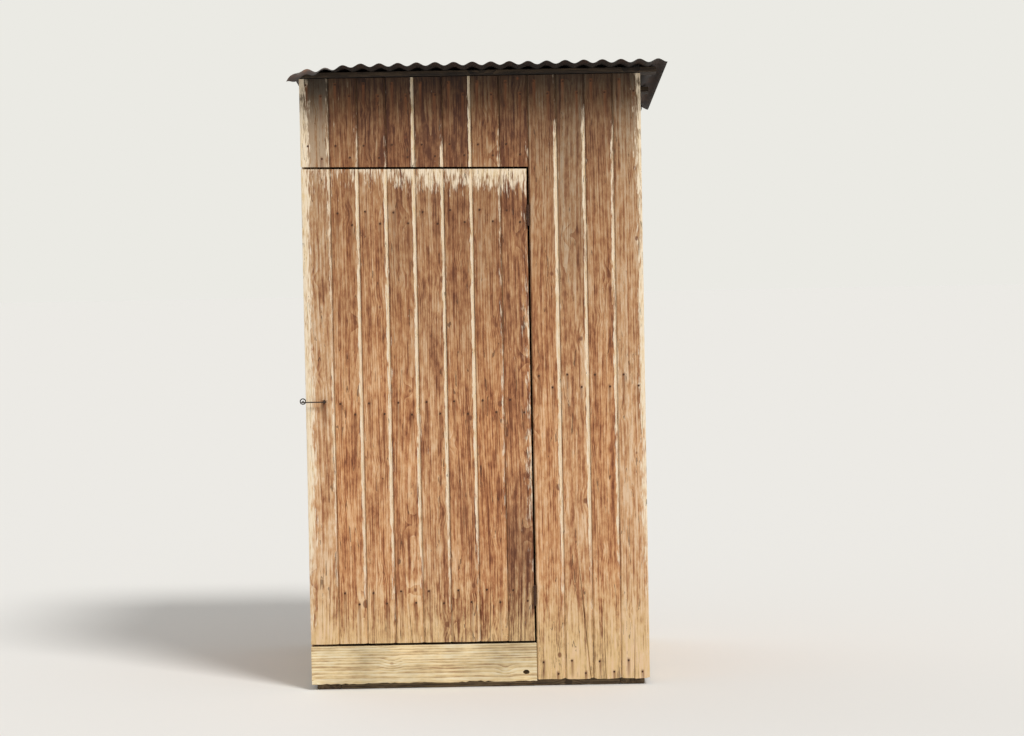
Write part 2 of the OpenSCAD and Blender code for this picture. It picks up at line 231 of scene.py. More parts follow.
class WoodColours(bpy.types.PropertyGroup):
    deep: colour_property("Deep stain", "Stain left in the late wood and in knots", "724125")
    stain: colour_property("Stain", "Red-brown stain on the face of the boards", "AC754B")
    sunned: colour_property("Sunned stain", "Stain thinned by the sun", "D0A170")
    worn: colour_property("Worn wood", "Bare wood where the stain has gone", "E4C39C")
    # The arris colour is bare wood; the right-hand arrises show more of it, as a painted highlight.
    arris: colour_property("Arris", "Pale bare wood on the edges of the boards", "F3E1C6")
    foot: colour_property("Bleached foot", "Yellow bare wood near the ground", "DDBE88")
    grey: colour_property("Greyed wood", "Grey late wood of the bare foot", "A78C67")
    rust: colour_property("Rust stain", "Rust that has run down from the nails", "7A4A2A")


class CameraView(bpy.types.PropertyGroup):
    height: length_property("Height", "Height of the camera over the ground", 1.65)
    distance: length_property("Distance", "Distance from the front boards", 10.40)
    aside: length_property("Aside", "How far the camera stands to the right of the walls' middle", 0.137)
    pitch: angle_property("Pitch", "Tilt of the view above the horizon", -2.55)
    roll: angle_property("Roll", "Lean of the uprights to the left", 1.05)
    lens: bpy.props.FloatProperty(
        name="Lens", default=98.9, min=10,
        description="Focal length in mm on a 36 mm frame: the photograph's 26 mm, 3.8 times closer")


# Mesh helpers


def make_active(obj):
    bpy.ops.object.select_all(action="DESELECT")
    obj.select_set(True)
    bpy.context.view_layer.objects.active = obj


def add_primitive(operator, **settings):
    """A new primitive, added with nothing else selected. Its place, turn and size are in its mesh."""
    bpy.ops.object.select_all(action="DESELECT")
    operator(**settings)
    bpy.ops.object.transform_apply(location=True, rotation=True, scale=True)
    return bpy.context.object


def add_box(low, high):
    """A box between two corners."""
    low, high = Vector(low), Vector(high)
    return add_primitive(
        bpy.ops.mesh.primitive_cube_add, size=1, location=(low + high) / 2, scale=high - low)


def edit_whole():
    """Starts edit mode with the whole mesh selected."""
    bpy.ops.object.mode_set(mode="EDIT")
    bpy.ops.mesh.select_all(action="SELECT")


def pick(obj, kind, test):
    """In edit mode, selects only the edges or faces that pass the test."""
    bpy.ops.mesh.select_mode(type=kind)
    bpy.ops.mesh.select_all(action="DESELECT")
    mesh = bmesh.from_edit_mesh(obj.data)
    for part in mesh.edges if kind == "EDGE" else mesh.faces:
        if test(part):
            part.select_set(True)
    bmesh.update_edit_mesh(obj.data)


def cut(co, no):
    """In edit mode, cuts the whole mesh by a plane."""
    bpy.ops.mesh.select_all(action="SELECT")
    bpy.ops.mesh.bisect(plane_co=co, plane_no=no)


def points_of(obj):
    found = np.zeros(len(obj.data.vertices) * 3)
    obj.data.vertices.foreach_get("co", found)
    return found.reshape(-1, 3)


def set_points(obj, points):
    obj.data.vertices.foreach_set("co", points.astype(np.float32).ravel())
    obj.data.update()


def set_attribute(obj, name, values):
    """Keeps a number, or a vector given as its three columns, for each point of a piece. Materials read it
    by its name."""
    values = np.stack(values, 1) if isinstance(values, tuple) else values
    kind, field = ("FLOAT", "value") if values.ndim == 1 else ("FLOAT_VECTOR", "vector")
    layer = obj.data.attributes.get(name) or obj.data.attributes.new(name, kind, "POINT")
    layer.data.foreach_set(field, values.astype(np.float32).ravel())


def copy_of(obj, name):
    """A copy with its own mesh."""
    twin = bpy.data.objects.new(name, obj.data.copy())
    bpy.context.scene.collection.objects.link(twin)
    return twin


def join(parts, name):
    make_active(parts[0])
    for part in parts:
        part.select_set(True)
    if len(parts) > 1:
        bpy.ops.object.join()
    whole = bpy.context.view_layer.objects.active
    whole.name = whole.data.name = name
    return whole


def apply_modifiers(obj):
    make_active(obj)
    for modifier in list(obj.modifiers):
        bpy.ops.object.modifier_apply(modifier=modifier.name)


def subtract(obj, tool):
    """Cuts the shape of the tool out of a piece."""
    hollow = obj.modifiers.new("Cut out", "BOOLEAN")
    hollow.object = tool
    hollow.operation = "DIFFERENCE"
    apply_modifiers(obj)


def finish_piece(obj, material, body, replaced=(), smooth=30):
    """Applies the place of a piece, and gives it its finish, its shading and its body."""
    make_active(obj)
    bpy.ops.object.transform_apply(location=True, rotation=True, scale=True)
    obj.data.materials.clear()
    obj.data.materials.append(material)
    bpy.ops.object.shade_smooth_by_angle(angle=math.radians(smooth))
    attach(obj, body)
    if replaced:
        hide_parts(*replaced)
    return obj


def smooth_step(low, high, value):
    t = np.clip((value - low) / (high - low), 0, 1)
    return t * t * (3 - 2 * t)


def wander(along, seed, channel, pace=1.3):
    """Smooth random values between -1 and 1 along a length in metres, the same on each run."""
    rows, index = np.unique(np.round(along, 4), return_inverse=True)
    found = np.array([noise.noise(Vector((r * pace, seed * 7.31, channel * 3.17))) for r in rows])
    return found[index]


# Materials


def first_output(node):
    return next(socket for socket in node.outputs if socket.enabled)


def add_node(tree, kind, inputs=(), stops=(), **settings):
    """Adds a node with its settings. Its inputs, by key or in their order, each get a value, or a link from
    a socket or from a node's first output. Stops are the places and values along a colour ramp, upwards."""
    new = tree.nodes.new("ShaderNode" + kind)
    for name, value in settings.items():
        setattr(new, name, value)
    for key, value in inputs.items() if isinstance(inputs, dict) else enumerate(inputs):
        if isinstance(value, bpy.types.Node):
            value = first_output(value)
        if isinstance(value, bpy.types.NodeSocket):
            tree.links.new(value, new.inputs[key])
        else:
            new.inputs[key].default_value = value
    if stops:
        elements = new.color_ramp.elements
        elements[0].position, elements[1].position = stops[0][0], stops[-1][0]
        for place, _ in stops[1:-1]:
            elements.new(place)
        for element, (_, value) in zip(elements, stops):
            if isinstance(value, str):
                value = hex_colour(value)
            element.color = value if hasattr(value, "__len__") else (value, value, value, 1)
    return new


def new_material(name, roughness):
    material = bpy.data.materials.new(name)
    material.use_nodes = True
    tree = material.node_tree
    shader = tree.nodes["Principled BSDF"]
    shader.inputs["Roughness"].default_value = roughness
    return material, tree, shader


def finish_shader(tree, shader, colour, height, strength, depth):
    """Gives the shader its colour, and a bump of a depth in metres."""
    bump = add_node(tree, "Bump", {"Height": height, "Strength": strength, "Distance": depth})
    tree.links.new(first_output(colour), shader.inputs["Base Color"])
    tree.links.new(first_output(bump), shader.inputs["Normal"])


def marks_per_metre(width):
    """The scale of a pattern whose marks are about width mm wide."""
    return round(1000 / width)


def grain_marks(tree, grain, *names):
    """The marks of these names, drawn out along the grain, each from 0 to 1."""
    found = []
    for name in names:
        width, share, detail, roughness = GRAIN_MARKS[name]
        drawn_out = add_node(tree, "Mapping", {"Vector": grain, "Scale": (1, 1, share)})
        found.append(add_node(tree, "TexNoise", {
            "Vector": drawn_out, "Scale": marks_per_metre(width), "Detail": detail, "Roughness": roughness}))
    return found


def knots_and_swirl(tree, across, up):
    """Where a board's knots are, from 0 to 1, and how far they push its rings aside. There is one at most in
    each KNOT_SPACING of a board, and its place comes from the cells of a Voronoi pattern."""
    flat = add_node(tree, "CombineXYZ", (across, up))
    cells = add_node(tree, "VectorMath", (flat, (1 / BOARD_FACE, 1 / KNOT_SPACING, 0)), operation="MULTIPLY")
    near = add_node(tree, "TexVoronoi", {"Vector": cells, "Scale": 1.0}, voronoi_dimensions="2D")
    away = add_node(tree, "VectorMath", (cells, near.outputs["Position"]), operation="SUBTRACT")
    metres = add_node(tree, "VectorMath", (away, (BOARD_FACE, 0.75 * KNOT_SPACING, 0)), operation="MULTIPLY")
    reach = add_node(tree, "VectorMath", (metres,), operation="LENGTH")
    lot = add_node(tree, "SeparateColor", (near.outputs["Color"],))

    # About half of the cells have a knot, with a radius of up to 1 cm.
    radius = add_node(tree, "MapRange", (lot, 0.45, 1.0, -0.004, 0.010))
    outside = add_node(tree, "Math", (reach, radius), operation="SUBTRACT")
    knot = add_node(tree, "MapRange", (outside, 0.0, 0.004, 1.0, 0.0))
    swirl = add_node(tree, "MapRange", (outside, 0.0, 0.04, 7.0, 0.0), interpolation_type="SMOOTHSTEP")
    return knot, swirl


def wood_figure(tree, ring, shares):
    """Late wood, fibres, streaks and flecks of a softwood, in the given shares, and its knots. Its grain
    runs along the third axis of the grain attribute, and its rings are ring metres wide. Returns how light
    the wood is, from 0 to 1, where its knots are, and the board and the grain attributes."""
    grain = add_node(tree, "Attribute", attribute_name="grain").outputs["Vector"]
    board = add_node(tree, "Attribute", attribute_name="board").outputs["Vector"]
    board = add_node(tree, "SeparateXYZ", (board,)).outputs
    up = add_node(tree, "SeparateXYZ", (grain,)).outputs["Z"]
    knot, swirl = knots_and_swirl(tree, board[0], up)
    long_grain = add_node(tree, "Mapping", {"Vector": grain, "Scale": (1, 1, 0.05)})

    # At a scale of 1, a wave texture turns through 20 radians in a metre.
    rings = add_node(tree, "TexWave", {
        "Vector": long_grain, "Scale": math.tau / (20 * ring), "Distortion": 2.2, "Detail": 2.0,
        "Detail Scale": 0.6, "Phase Offset": swirl},
        wave_type="RINGS", rings_direction="Z", wave_profile="SAW")
    level = 0.5
    for figure, share in zip((rings, *grain_marks(tree, grain, "fibre", "streak", "fleck")), shares):
        centred = add_node(tree, "Math", (figure.outputs["Fac"], 0.5), operation="SUBTRACT")
        level = add_node(tree, "Math", (centred, share, level), operation="MULTIPLY_ADD")
    toned = add_node(tree, "Math", (board[2], 0.18, level), operation="MULTIPLY_ADD")
    return toned, knot, board, grain


def finish_wood(tree, shader, colour, level, knot, depth):
    """Grain in relief: the lighter the wood is the higher it stands, and knots are sunk."""
    relief = add_node(tree, "Math", (knot, -0.5, level), operation="MULTIPLY_ADD")
    finish_shader(tree, shader, colour, relief, 0.8, depth)


def red_tint(tree, blotch):
    """Some boards, and patches of all, have kept more of the red of the stain."""
    redness = add_node(tree, "Attribute", attribute_name="redness").outputs["Fac"]
    patch = add_node(tree, "Math", (blotch.outputs["Color"], 1.6, -0.3), operation="MULTIPLY_ADD")
    share = add_node(tree, "Math", (redness, 0.5, patch), operation="MULTIPLY_ADD", use_clamp=True)
    return add_node(tree, "Mix", {0: share, 6: (0.97, 1.0, 1.08, 1), 7: (1.0, 0.87, 0.78, 1)},
                    data_type="RGBA")


def eave_shade(tree, height):
    """Darker high up, under the eave, and lighter lower down: a painted shade of the eave, with a stain that
    has faded less up there.
    """
    share = add_node(tree, "Math", (height, TOP), operation="DIVIDE")
    return add_node(tree, "ValToRGB", (share,), [(z / TOP, light) for z, light in EAVE_SHADE_AND_STAIN])


def damp_and_shade_patches(tree, colour, damp_and_shade, blotch):
    """Duller and darker in patches: where water has run, and in a painted shade in the left chamfers of the
    joints, in the splits and under the bent roof corner.
    """
    patch = add_node(tree, "Math", (damp_and_shade, blotch), operation="MULTIPLY")
    share = add_node(tree, "Math", (patch, 2.0), operation="MULTIPLY", use_clamp=True)
    return add_node(tree, "HueSaturation", {
        "Fac": share, "Saturation": 0.98, "Value": 0.60, "Color": colour})


def bleached_foot(tree, shade, height):
    """Share and colour of the wood that has bleached near the ground. Its ragged upper limit climbs furthest
    in the light wood."""
    hue = bpy.context.scene.outhouse_wood
    limit = add_node(tree, "Math", (shade, -0.40, height), operation="MULTIPLY_ADD")
    share = add_node(tree, "MapRange", (limit, 0.24, -0.12, 0.0, 0.85), interpolation_type="SMOOTHSTEP")
    foot = add_node(tree, "ValToRGB", (shade,), [(0.15, hue.grey), (0.50, hue.foot), (0.90, hue.worn)])
    return share, foot


def nail_rust(tree, board, height, nail_heights, top_nails):
    """Share of the rust below each nail. The left nail of a board sits higher than the right one."""
    middle = BOARD_FACE / 2
    off = add_node(tree, "Math", (board[0], middle), operation="SUBTRACT")
    side = add_node(tree, "Math", (off,), operation="SIGN")
    distance = add_node(tree, "Math", (off,), operation="ABSOLUTE")
    from_nail = add_node(tree, "Math", (distance, middle - bpy.context.scene.outhouse_nails.inset),
                         operation="SUBTRACT")
    beside = add_node(tree, "Math", (from_nail,), operation="ABSOLUTE")
    run = add_node(tree, "MapRange", (beside, 0.002, 0.008, 1.0, 0.0))
    line = add_node(tree, "Math", (side, NAIL_STAGGER, height), operation="MULTIPLY_ADD")
    below = add_node(tree, "ValToRGB", (add_node(tree, "Math", (line, TOP), operation="DIVIDE"),), [
        ((nail + above) / TOP, strength) for nail in nail_heights for above, strength in NAIL_RUN])
    if top_nails:
        drop = add_node(tree, "Math", (side, -NAIL_STAGGER, board[1]), operation="MULTIPLY_ADD")
        fading = add_node(tree, "MapRange", (drop, TOP_NAIL_DROP, TOP_NAIL_DROP + 0.14, 1.0, 0.0))
        under = add_node(tree, "Math", (drop, TOP_NAIL_DROP - 0.006), operation="GREATER_THAN")
        top_run = add_node(tree, "Math", (fading, under), operation="MULTIPLY")
        below = add_node(tree, "Math", (top_run, below), operation="MAXIMUM")
    rust = add_node(tree, "Math", (run, below), operation="MULTIPLY")
    return add_node(tree, "Math", (rust, 0.75), operation="MULTIPLY")


def hook_rust(tree, x, height, blotch, hook):
    """Share of the rust that has run from the eye of the hook, which is at x and z."""
    above = add_node(tree, "Math", (height, hook[1]), operation="SUBTRACT")
    drip = add_node(tree, "MapRange", (above, -0.13, -0.01, 0.0, 0.95))
    under = add_node(tree, "Math", (height, hook[1] + 0.006), operation="LESS_THAN")
    sway = add_node(tree, "Math", (blotch, 0.02, hook[0] - 0.010), operation="MULTIPLY_ADD")
    off = add_node(tree, "Math", (x, sway), operation="SUBTRACT")
    astray = add_node(tree, "Math", (off,), operation="ABSOLUTE")
    band = add_node(tree, "MapRange", (astray, 0.003, 0.014, 1.0, 0.0))
    run = add_node(tree, "Math", (drip, under), operation="MULTIPLY")
    return add_node(tree, "Math", (band, run), operation="MULTIPLY")


def bare_and_highlit_arrises(tree, weather, torn, nicks):
    """Share and colour of the bare wood on the arrises, brighter on the right-hand ones as a painted
    highlight, and on the rubbed top of the door. It ends in torn fibres, not in a line."""
    hue = bpy.context.scene.outhouse_wood
    worn = add_node(tree, "Math", (weather[0], weather[2]), operation="MAXIMUM")
    fibres = add_node(tree, "Math", (torn, 1.5, worn), operation="MULTIPLY_ADD")
    broken = add_node(tree, "Math", (nicks, 1.2, fibres), operation="MULTIPLY_ADD")
    share = add_node(tree, "MapRange", (broken, 1.78, 2.08, 0.0, 0.95))
    return share, add_node(tree, "ValToRGB", (torn,), [(0.30, hue.foot), (0.55, hue.arris)])


def drying_checks(tree, check, nicks):
    """Share and colour of the hair cracks along the grain, a hand long, where the boards have dried most."""
    line = add_node(tree, "Math", (check, 0.52, 0.0085), operation="COMPARE")
    dried = add_node(tree, "Math", (nicks, 0.53), operation="GREATER_THAN")
    cracks = add_node(tree, "Math", (line, dried), operation="MULTIPLY")
    return add_node(tree, "Math", (cracks, 0.62), operation="MULTIPLY"), hex_colour("3A2416")


def stained_boards(name, nail_heights, top_nails, hook=None):
    """Softwood boards, stained brown once and left to the sun: dry, with coarse grain and a thin, patchy
    stain. It has gone at the edges and near the ground, and rust has run from the nails, and from the eye
    of the hook at x and z. Boards with a hook have no nails left of the ledges."""
    hue = bpy.context.scene.outhouse_wood
    material, tree, shader = new_material(name, 0.85)
    level, knot, board, grain = wood_figure(tree, 0.007, (0.27, 1.0, 1.15, 0.9))
    place = add_node(tree, "TexCoord").outputs["Object"]
    x, _, height = add_node(tree, "SeparateXYZ", (place,)).outputs
    weather = add_node(tree, "Attribute", attribute_name="weather").outputs["Vector"]
    weather = add_node(tree, "SeparateXYZ", (weather,)).outputs
    inside = add_node(tree, "Attribute", attribute_name="inside").outputs["Fac"]
    blotch, torn, nicks, check = grain_marks(tree, grain, "blotch", "torn", "nick", "check")
    uneven = add_node(tree, "Math", (blotch, 0.5), operation="SUBTRACT")
    shade = add_node(tree, "Math", (uneven, 0.45, level), operation="MULTIPLY_ADD")
    colour = add_node(tree, "ValToRGB", (shade,), [
        (0.12, hue.deep), (0.38, hue.stain), (0.62, hue.sunned), (0.88, hue.worn)])
    for light in (red_tint(tree, blotch), eave_shade(tree, height)):
        colour = add_node(tree, "Mix", {0: 1.0, 6: colour, 7: light}, data_type="RGBA",
                          blend_type="MULTIPLY")
    colour = damp_and_shade_patches(tree, colour, weather[1], blotch)
    rust = nail_rust(tree, board, height, nail_heights, top_nails)
    if hook:
        held = add_node(tree, "Math", (x, LEDGE_START), operation="GREATER_THAN")
        rust = add_node(tree, "Math", (rust, held), operation="MULTIPLY")
        rust = add_node(tree, "Math", (hook_rust(tree, x, height, blotch, hook), rust),
                        operation="MAXIMUM")
    knots = add_node(tree, "Math", (knot, 0.8), operation="MULTIPLY")

    # The backs were never stained, and have only darkened in the air.
    raw = add_node(tree, "ValToRGB", (shade,), [(0.10, "4F3A26"), (0.50, "8A6A46"), (0.90, "B7966B")])

    # What lies over the stain, from the first layer to the last: each one's share and colour.
    for share, layer in (
            bleached_foot(tree, shade, height), (rust, hue.rust), (knots, hue.deep),
            bare_and_highlit_arrises(tree, weather, torn, nicks), drying_checks(tree, check, nicks), (inside, raw)):
        colour = add_node(tree, "Mix", {0: share, 6: colour, 7: layer}, data_type="RGBA")
    finish_wood(tree, shader, colour, shade, knot, 0.0012)
    return material


def bare_timber(name, dark, middle, light, roughness=0.8, depth=0.0008, ring=0.004):
    """Unpainted softwood that has darkened with age: dull and grimy, with its rings showing."""
    material, tree, shader = new_material(name, roughness)
    level, knot, _, _ = wood_figure(tree, ring, (0.42, 1.0, 1.0, 0.4))
    colour = add_node(tree, "ValToRGB", (level,), [(0.15, dark), (0.5, middle), (0.9, light)])
    place = add_node(tree, "TexCoord").outputs["Object"]
    grime = add_node(tree, "TexNoise", {
        "Vector": place, "Scale": marks_per_metre(GRIME_WIDTH), "Detail": 4.0, "Roughness": 0.6})
    clean = add_node(tree, "MapRange", (grime, 0.35, 0.7, 1.0, 0.62))
    grimed = add_node(tree, "Mix", {0: 1.0, 6: colour, 7: clean}, data_type="RGBA", blend_type="MULTIPLY")
    knots = add_node(tree, "Math", (knot, 0.7), operation="MULTIPLY")
    knotted = add_node(tree, "Mix", {0: knots, 6: grimed, 7: hex_colour(dark)}, data_type="RGBA")
    finish_wood(tree, shader, knotted, level, knot, depth)
    return material


def rusted_sheet():
    """Galvanised iron whose zinc has gone almost everywhere: dark scaly rust, browner where it is fresh,
    with dull grey zinc left in flakes, and fewest where the rust is freshest. Its underside and the strips
    along its eaves are darkened with a painted shade."""
    material, tree, shader = new_material("rusted_sheet_iron", 0.86)
    place = add_node(tree, "TexCoord").outputs["Object"]
    crest = add_node(tree, "Attribute", attribute_name="crest").outputs["Fac"]
    sooty = add_node(tree, "Attribute", attribute_name="sooty").outputs["Fac"]
    down_slope = add_node(tree, "Mapping", {"Vector": place, "Scale": (1, 0.3, 1)})
    scale, patch, flake = [add_node(tree, "TexNoise", {
        "Vector": down_slope, "Scale": marks_per_metre(width), "Detail": detail, "Roughness": roughness})
        for width, detail, roughness in SHEET_MARKS]
    rubbed = add_node(tree, "Math", (crest, 0.26, scale), operation="MULTIPLY_ADD")
    fresh = add_node(tree, "Math", (patch, 0.7, rubbed), operation="MULTIPLY_ADD")
    level = add_node(tree, "Math", (fresh, 0.50), operation="SUBTRACT")
    rust = add_node(tree, "ValToRGB", (level,), [
        (0.22, "211813"), (0.38, "372922"), (0.50, "4E372B"), (0.64, "674632"), (0.80, "835939")])
    held = add_node(tree, "Math", (patch, -0.5, flake), operation="MULTIPLY_ADD")
    pitted = add_node(tree, "Math", (scale, -0.32, held), operation="MULTIPLY_ADD")
    zinc = add_node(tree, "MapRange", (pitted, 0.14, 0.25, 0.0, 0.7))
    # Near-black painted shade on the underside and along the eaves.
    sheet_shade = add_node(tree, "Math", (sooty, 0.8), operation="MULTIPLY")
    colour = rust
    for share, layer in ((zinc, "7C776F"), (sheet_shade, "17100C")):
        colour = add_node(tree, "Mix", {0: share, 6: colour, 7: hex_colour(layer)}, data_type="RGBA")
    metal = add_node(tree, "Math", (zinc, 0.5), operation="MULTIPLY")
    gloss = add_node(tree, "MapRange", (zinc, 0.0, 1.0, 0.88, 0.55))
    tree.links.new(first_output(metal), shader.inputs["Metallic"])
    tree.links.new(first_output(gloss), shader.inputs["Roughness"])
    finish_shader(tree, shader, colour, scale, 0.5, 0.0008)
    return material


def rusted_iron(name, dark, light, grain_size=0.002):
    """Small forged or drawn iron under a skin of rust: matt, speckled, with a trace of metal."""
    material, tree, shader = new_material(name, 0.7)
    shader.inputs["Metallic"].default_value = 0.35
    place = add_node(tree, "TexCoord").outputs["Object"]
    speck = add_node(tree, "TexNoise", {
        "Vector": place, "Scale": 1 / grain_size, "Detail": 4.0, "Roughness": 0.65})
    colour = add_node(tree, "ValToRGB", (speck,), [(0.35, dark), (0.68, light)])
    finish_shader(tree, shader, colour, speck, 0.4, 0.0003)
    return material


# Boards


def model_board(left_square, right_square, rows):
    """One upright board a metre high, its face on y = 0 and its left edge on x = 0, with a groove on the
    left and a tongue on the right. A square edge has neither."""
    sizes = bpy.context.scene.outhouse_boards
    face = BOARD_FACE
    board = add_box((0, 0, 0), (face, BOARD_THICK, 1))
    bpy.ops.object.mode_set(mode="EDIT")

    def upright_at(edge, x):
        a, b = (v.co for v in edge.verts)
        return abs(a.z - b.z) > 0.9 and abs(a.y) < NEAR and abs(b.y) < NEAR and abs(a.x - x) < NEAR

    def side_at(side, x):
        middle = side.calc_center_median()
        return (abs(side.normal.x) > 0.9 and abs(middle.x - x) < NEAR
                and abs(middle.y - TONGUE_MIDDLE) < 0.05 * BOARD_THICK)

    for x, square in ((0, left_square), (face, right_square)):
        pick(board, "EDGE", lambda e: upright_at(e, x))
        bpy.ops.mesh.bevel(
            offset=SQUARE_ROUND if square else sizes.chamfer, segments=2 if square else 1, affect="EDGES")
    for depth in TONGUE_DEPTHS:
        cut((0, depth, 0), (0, 1, 0))
    for x in (sizes.chamfer + sizes.fade, face / 2, face - sizes.chamfer - sizes.fade):
        cut((x, 0, 0), (1, 0, 0))
    for x, square, reach in ((0, left_square, sizes.tongue + 0.001), (face, right_square, sizes.tongue)):
        if not square:
            pick(board, "FACE", lambda f: side_at(f, x))
            bpy.ops.mesh.extrude_region_move(TRANSFORM_OT_translate={"value": (reach, 0, 0)})
    pick(board, "EDGE", lambda e: abs(e.verts[0].co.z - e.verts[1].co.z) > 0.9)
    bpy.ops.mesh.subdivide(number_cuts=rows - 1)
    bpy.ops.object.mode_set(mode="OBJECT")
    return board


def choose_split(rng, splits, number):
    """The split of a board: the one that splits has for its number or, without splits, one drawn by lot."""
    middle, lean = rng.uniform(0.3, 0.7), rng.uniform(-0.08, 0.08)
    drawn = (middle, middle + lean, rng.uniform(0.10, 0.34), rng.uniform(0.0008, 0.0014))
    if splits is not None:
        return splits.get(number)
    return drawn if rng.random() <= 0.4 else None


def cut_split(board, split, rise):
    """Cuts the bottom and the lips of a split into the face of a board, which stands for one that is rise
    high."""
    at_foot, at_end, reach, half_width = split
    across = Vector((reach / rise, 0, (at_foot - at_end) * BOARD_FACE)).normalized()
    make_active(board)
    bpy.ops.object.mode_set(mode="EDIT")
    for side in (-half_width, 0, half_width):
        cut((at_foot * BOARD_FACE + side, 0, 0), across)
    bpy.ops.object.mode_set(mode="OBJECT")


def open_split(split, u, climb, wave, out):
    """How far each point of a face moves along the wall where it is split, and how deep in the split it is,
    from 0 to 1. climb is its height over the board's foot."""
    at_foot, at_end, reach, half_width = split
    climbed = climb / reach
    aside = (u - at_foot - (at_end - at_foot) * climbed) * BOARD_FACE
    opened = np.sqrt(np.clip(1 - climbed, 0, 1))
    lips = out & (np.abs(aside) < half_width * 1.1) & (climbed < 1)
    moved = lips * (SPLIT_STRAY * wave - 0.8 * aside * (1 - opened))
    return moved, lips * (np.abs(aside) < half_width * 0.5) * opened


def set_board(p, own, span, square, foot, top, split, ragged, rng):
    """Takes the points of a board a metre high to their place in a wall, with its cup, its wander, its split
    and its ragged foot. span is its start along the wall and its width. Returns the points, and how deep in
    the split each one is."""
    sizes = bpy.context.scene.outhouse_boards
    start, width = span
    u, t = p[:, 0] / BOARD_FACE, p[:, 2]
    rise = top(0) - foot
    z = foot + t * rise
    cup = rng.uniform(-1, 1) * sizes.cup
    hollow = (1 - (2 * u - 1) ** 2) if cup > 0 else (2 * u - 1) ** 2
    out = p[:, 1] < TONGUE_DEPTHS[0] - NEAR
    back = abs(cup) * hollow + FACE_UNEVEN * (1 + wander(z, own, 1)) + rng.uniform(0, FACE_UNEVEN)
    depth = p[:, 1] + out * back
    x = start + u * width + EDGE_STRAY * wander(z, own, 2, 2.1) * ((u <= 0.1) | (u >= 0.9))
    if square[0]:
        x = np.maximum(x, start)
    crack = 0 * u
    if split:
        moved, crack = open_split(split, u, t * rise, wander(z, own, 9, 8.0), out)
        x += moved
        depth += crack * SPLIT_DEPTH
    column = np.array([noise.noise(Vector((v * 9, own, 4))) for v in u])
    corner = np.abs(2 * u - 1) ** 6
    worn = 0.35 + 0.45 * column + 0.5 * corner * rng.random() + 0.3 * rng.random()
    height = foot + t * (np.array([top(v) for v in x]) - foot)
    height += np.where(t < NEAR, np.clip(ragged * sizes.ragged * worn, 0, 3 * sizes.ragged), 0)
    return np.stack([x, depth, height], 1), crack


def arris_wear_and_highlight(u, z, own, square, left, right, eave):
    """How pale the edges of a board are: bare wood, with a painted highlight that makes the right-hand edge
    paler than the left. left and right say how much at the most. It is less low down, and less under the
    eave, in a painted shade."""
    sizes = bpy.context.scene.outhouse_boards
    edge = (sizes.chamfer + sizes.fade) / BOARD_FACE
    # At a V-joint the right-hand chamfer is pale in full and the left one a quarter as much: bare wood, with
    # a painted highlight as of light from the right.
    near_right = (smooth_step(0.68, 0.95, u) if square[1]
                  else smooth_step(1 - edge - 0.01, 1 - edge * 0.45, u))
    near_left = (smooth_step(0.32, 0.05, u) if square[0]
                 else 0.25 * smooth_step(edge + 0.01, edge * 0.45, u))
    bare = np.maximum(near_right * right, near_left * left)
    bare *= 1 + 0.5 * wander(z, own, 7, 4.0)
    bare *= 0.35 + 0.65 * smooth_step(0.2, 0.8, z)
    # Under the eave the pale edges fade: a painted shade.
    under_roof = eave > 2.0
    shaded = 0.25 if any(square) or right > 1 else 0.8
    return bare * (1 - shaded * under_roof * smooth_step(eave - 0.28, eave - 0.10, z))


def lay_boards(name, joints, foot, top, wear, seed, square_ends=(True, True), ragged=1.0, looks=None,
               damp_and_shade=None, rub=None, splits=None):
    """Boards between the joints along a wall, in the wall's own space. top gives the height of the wall at
    x. looks holds the tones and the reds of the boards, and splits their splits: without them both are drawn
    by lot. The damp function gives the dampness of board number i at the heights z, and over the door a
    painted shadow of the bent roof corner; rub gives how far its stain is rubbed off at distances below its
    top."""
    sizes = bpy.context.scene.outhouse_boards
    rng = random.Random(seed)
    rise = top(0) - foot
    rows = max(4, round((top(joints[0]) - foot) / sizes.row))
    masters, boards = {}, []
    for i, (left, right) in enumerate(zip(joints, joints[1:])):
        square = (i == 0 and square_ends[0], i == len(joints) - 2 and square_ends[1])
        if square not in masters:
            masters[square] = model_board(*square, rows)
        gap = sizes.gap * rng.uniform(0.6, 1.5) / 2
        start = left + (0 if square[0] else gap)
        width = right - (0 if square[1] else gap) - start
        board = copy_of(masters[square], f"{name}_{i}")
        split = choose_split(rng, splits, i)
        if split:
            cut_split(board, split, rise)
        p = points_of(board)
        own = seed * 31 + i
        placed, crack = set_board(p, own, (start, width), square, foot, top, split, ragged, rng)
        set_points(board, placed)

        u, z = p[:, 0] / BOARD_FACE, foot + p[:, 2] * rise
        x, depth, height = placed.T
        pith_x = rng.uniform(-0.6, 1.6) * BOARD_FACE
        pith_y = rng.uniform(0.035, 0.12)
        set_attribute(board, "grain", (
            u * width - pith_x + 0.020 * wander(z, own, 5, 0.8),
            depth + pith_y + 0.014 * wander(z, own, 6, 1.1), z + 5.3 * own))
        under_top = np.array([top(v) for v in x]) - height
        tone, red = (looks[0][i], looks[1][i]) if looks else (rng.uniform(-0.9, 0.9), rng.uniform(-0.8, 0.8))
        set_attribute(board, "board", (u * BOARD_FACE, under_top, np.full(len(u), tone)))
        set_attribute(board, "redness", np.full(len(u), red))
        set_attribute(board, "inside", (p[:, 1] > TONGUE_MIDDLE).astype(float))
        # The left chamfer of a V-joint and the bottom of a split are darkened as well: a painted shade.
        groove = 0.8 * (u < NEAR) * (not square[0]) + 3 * crack
        set_attribute(board, "weather", (
            arris_wear_and_highlight(u, z, own, square, wear[i], wear[i + 1], top(0)),
            groove + (damp_and_shade(i, z) if damp_and_shade else 0), rub(i, under_top) if rub else 0 * u))
        boards.append(board)
    for master in masters.values():
        bpy.data.objects.remove(master)
    return join(boards, name)


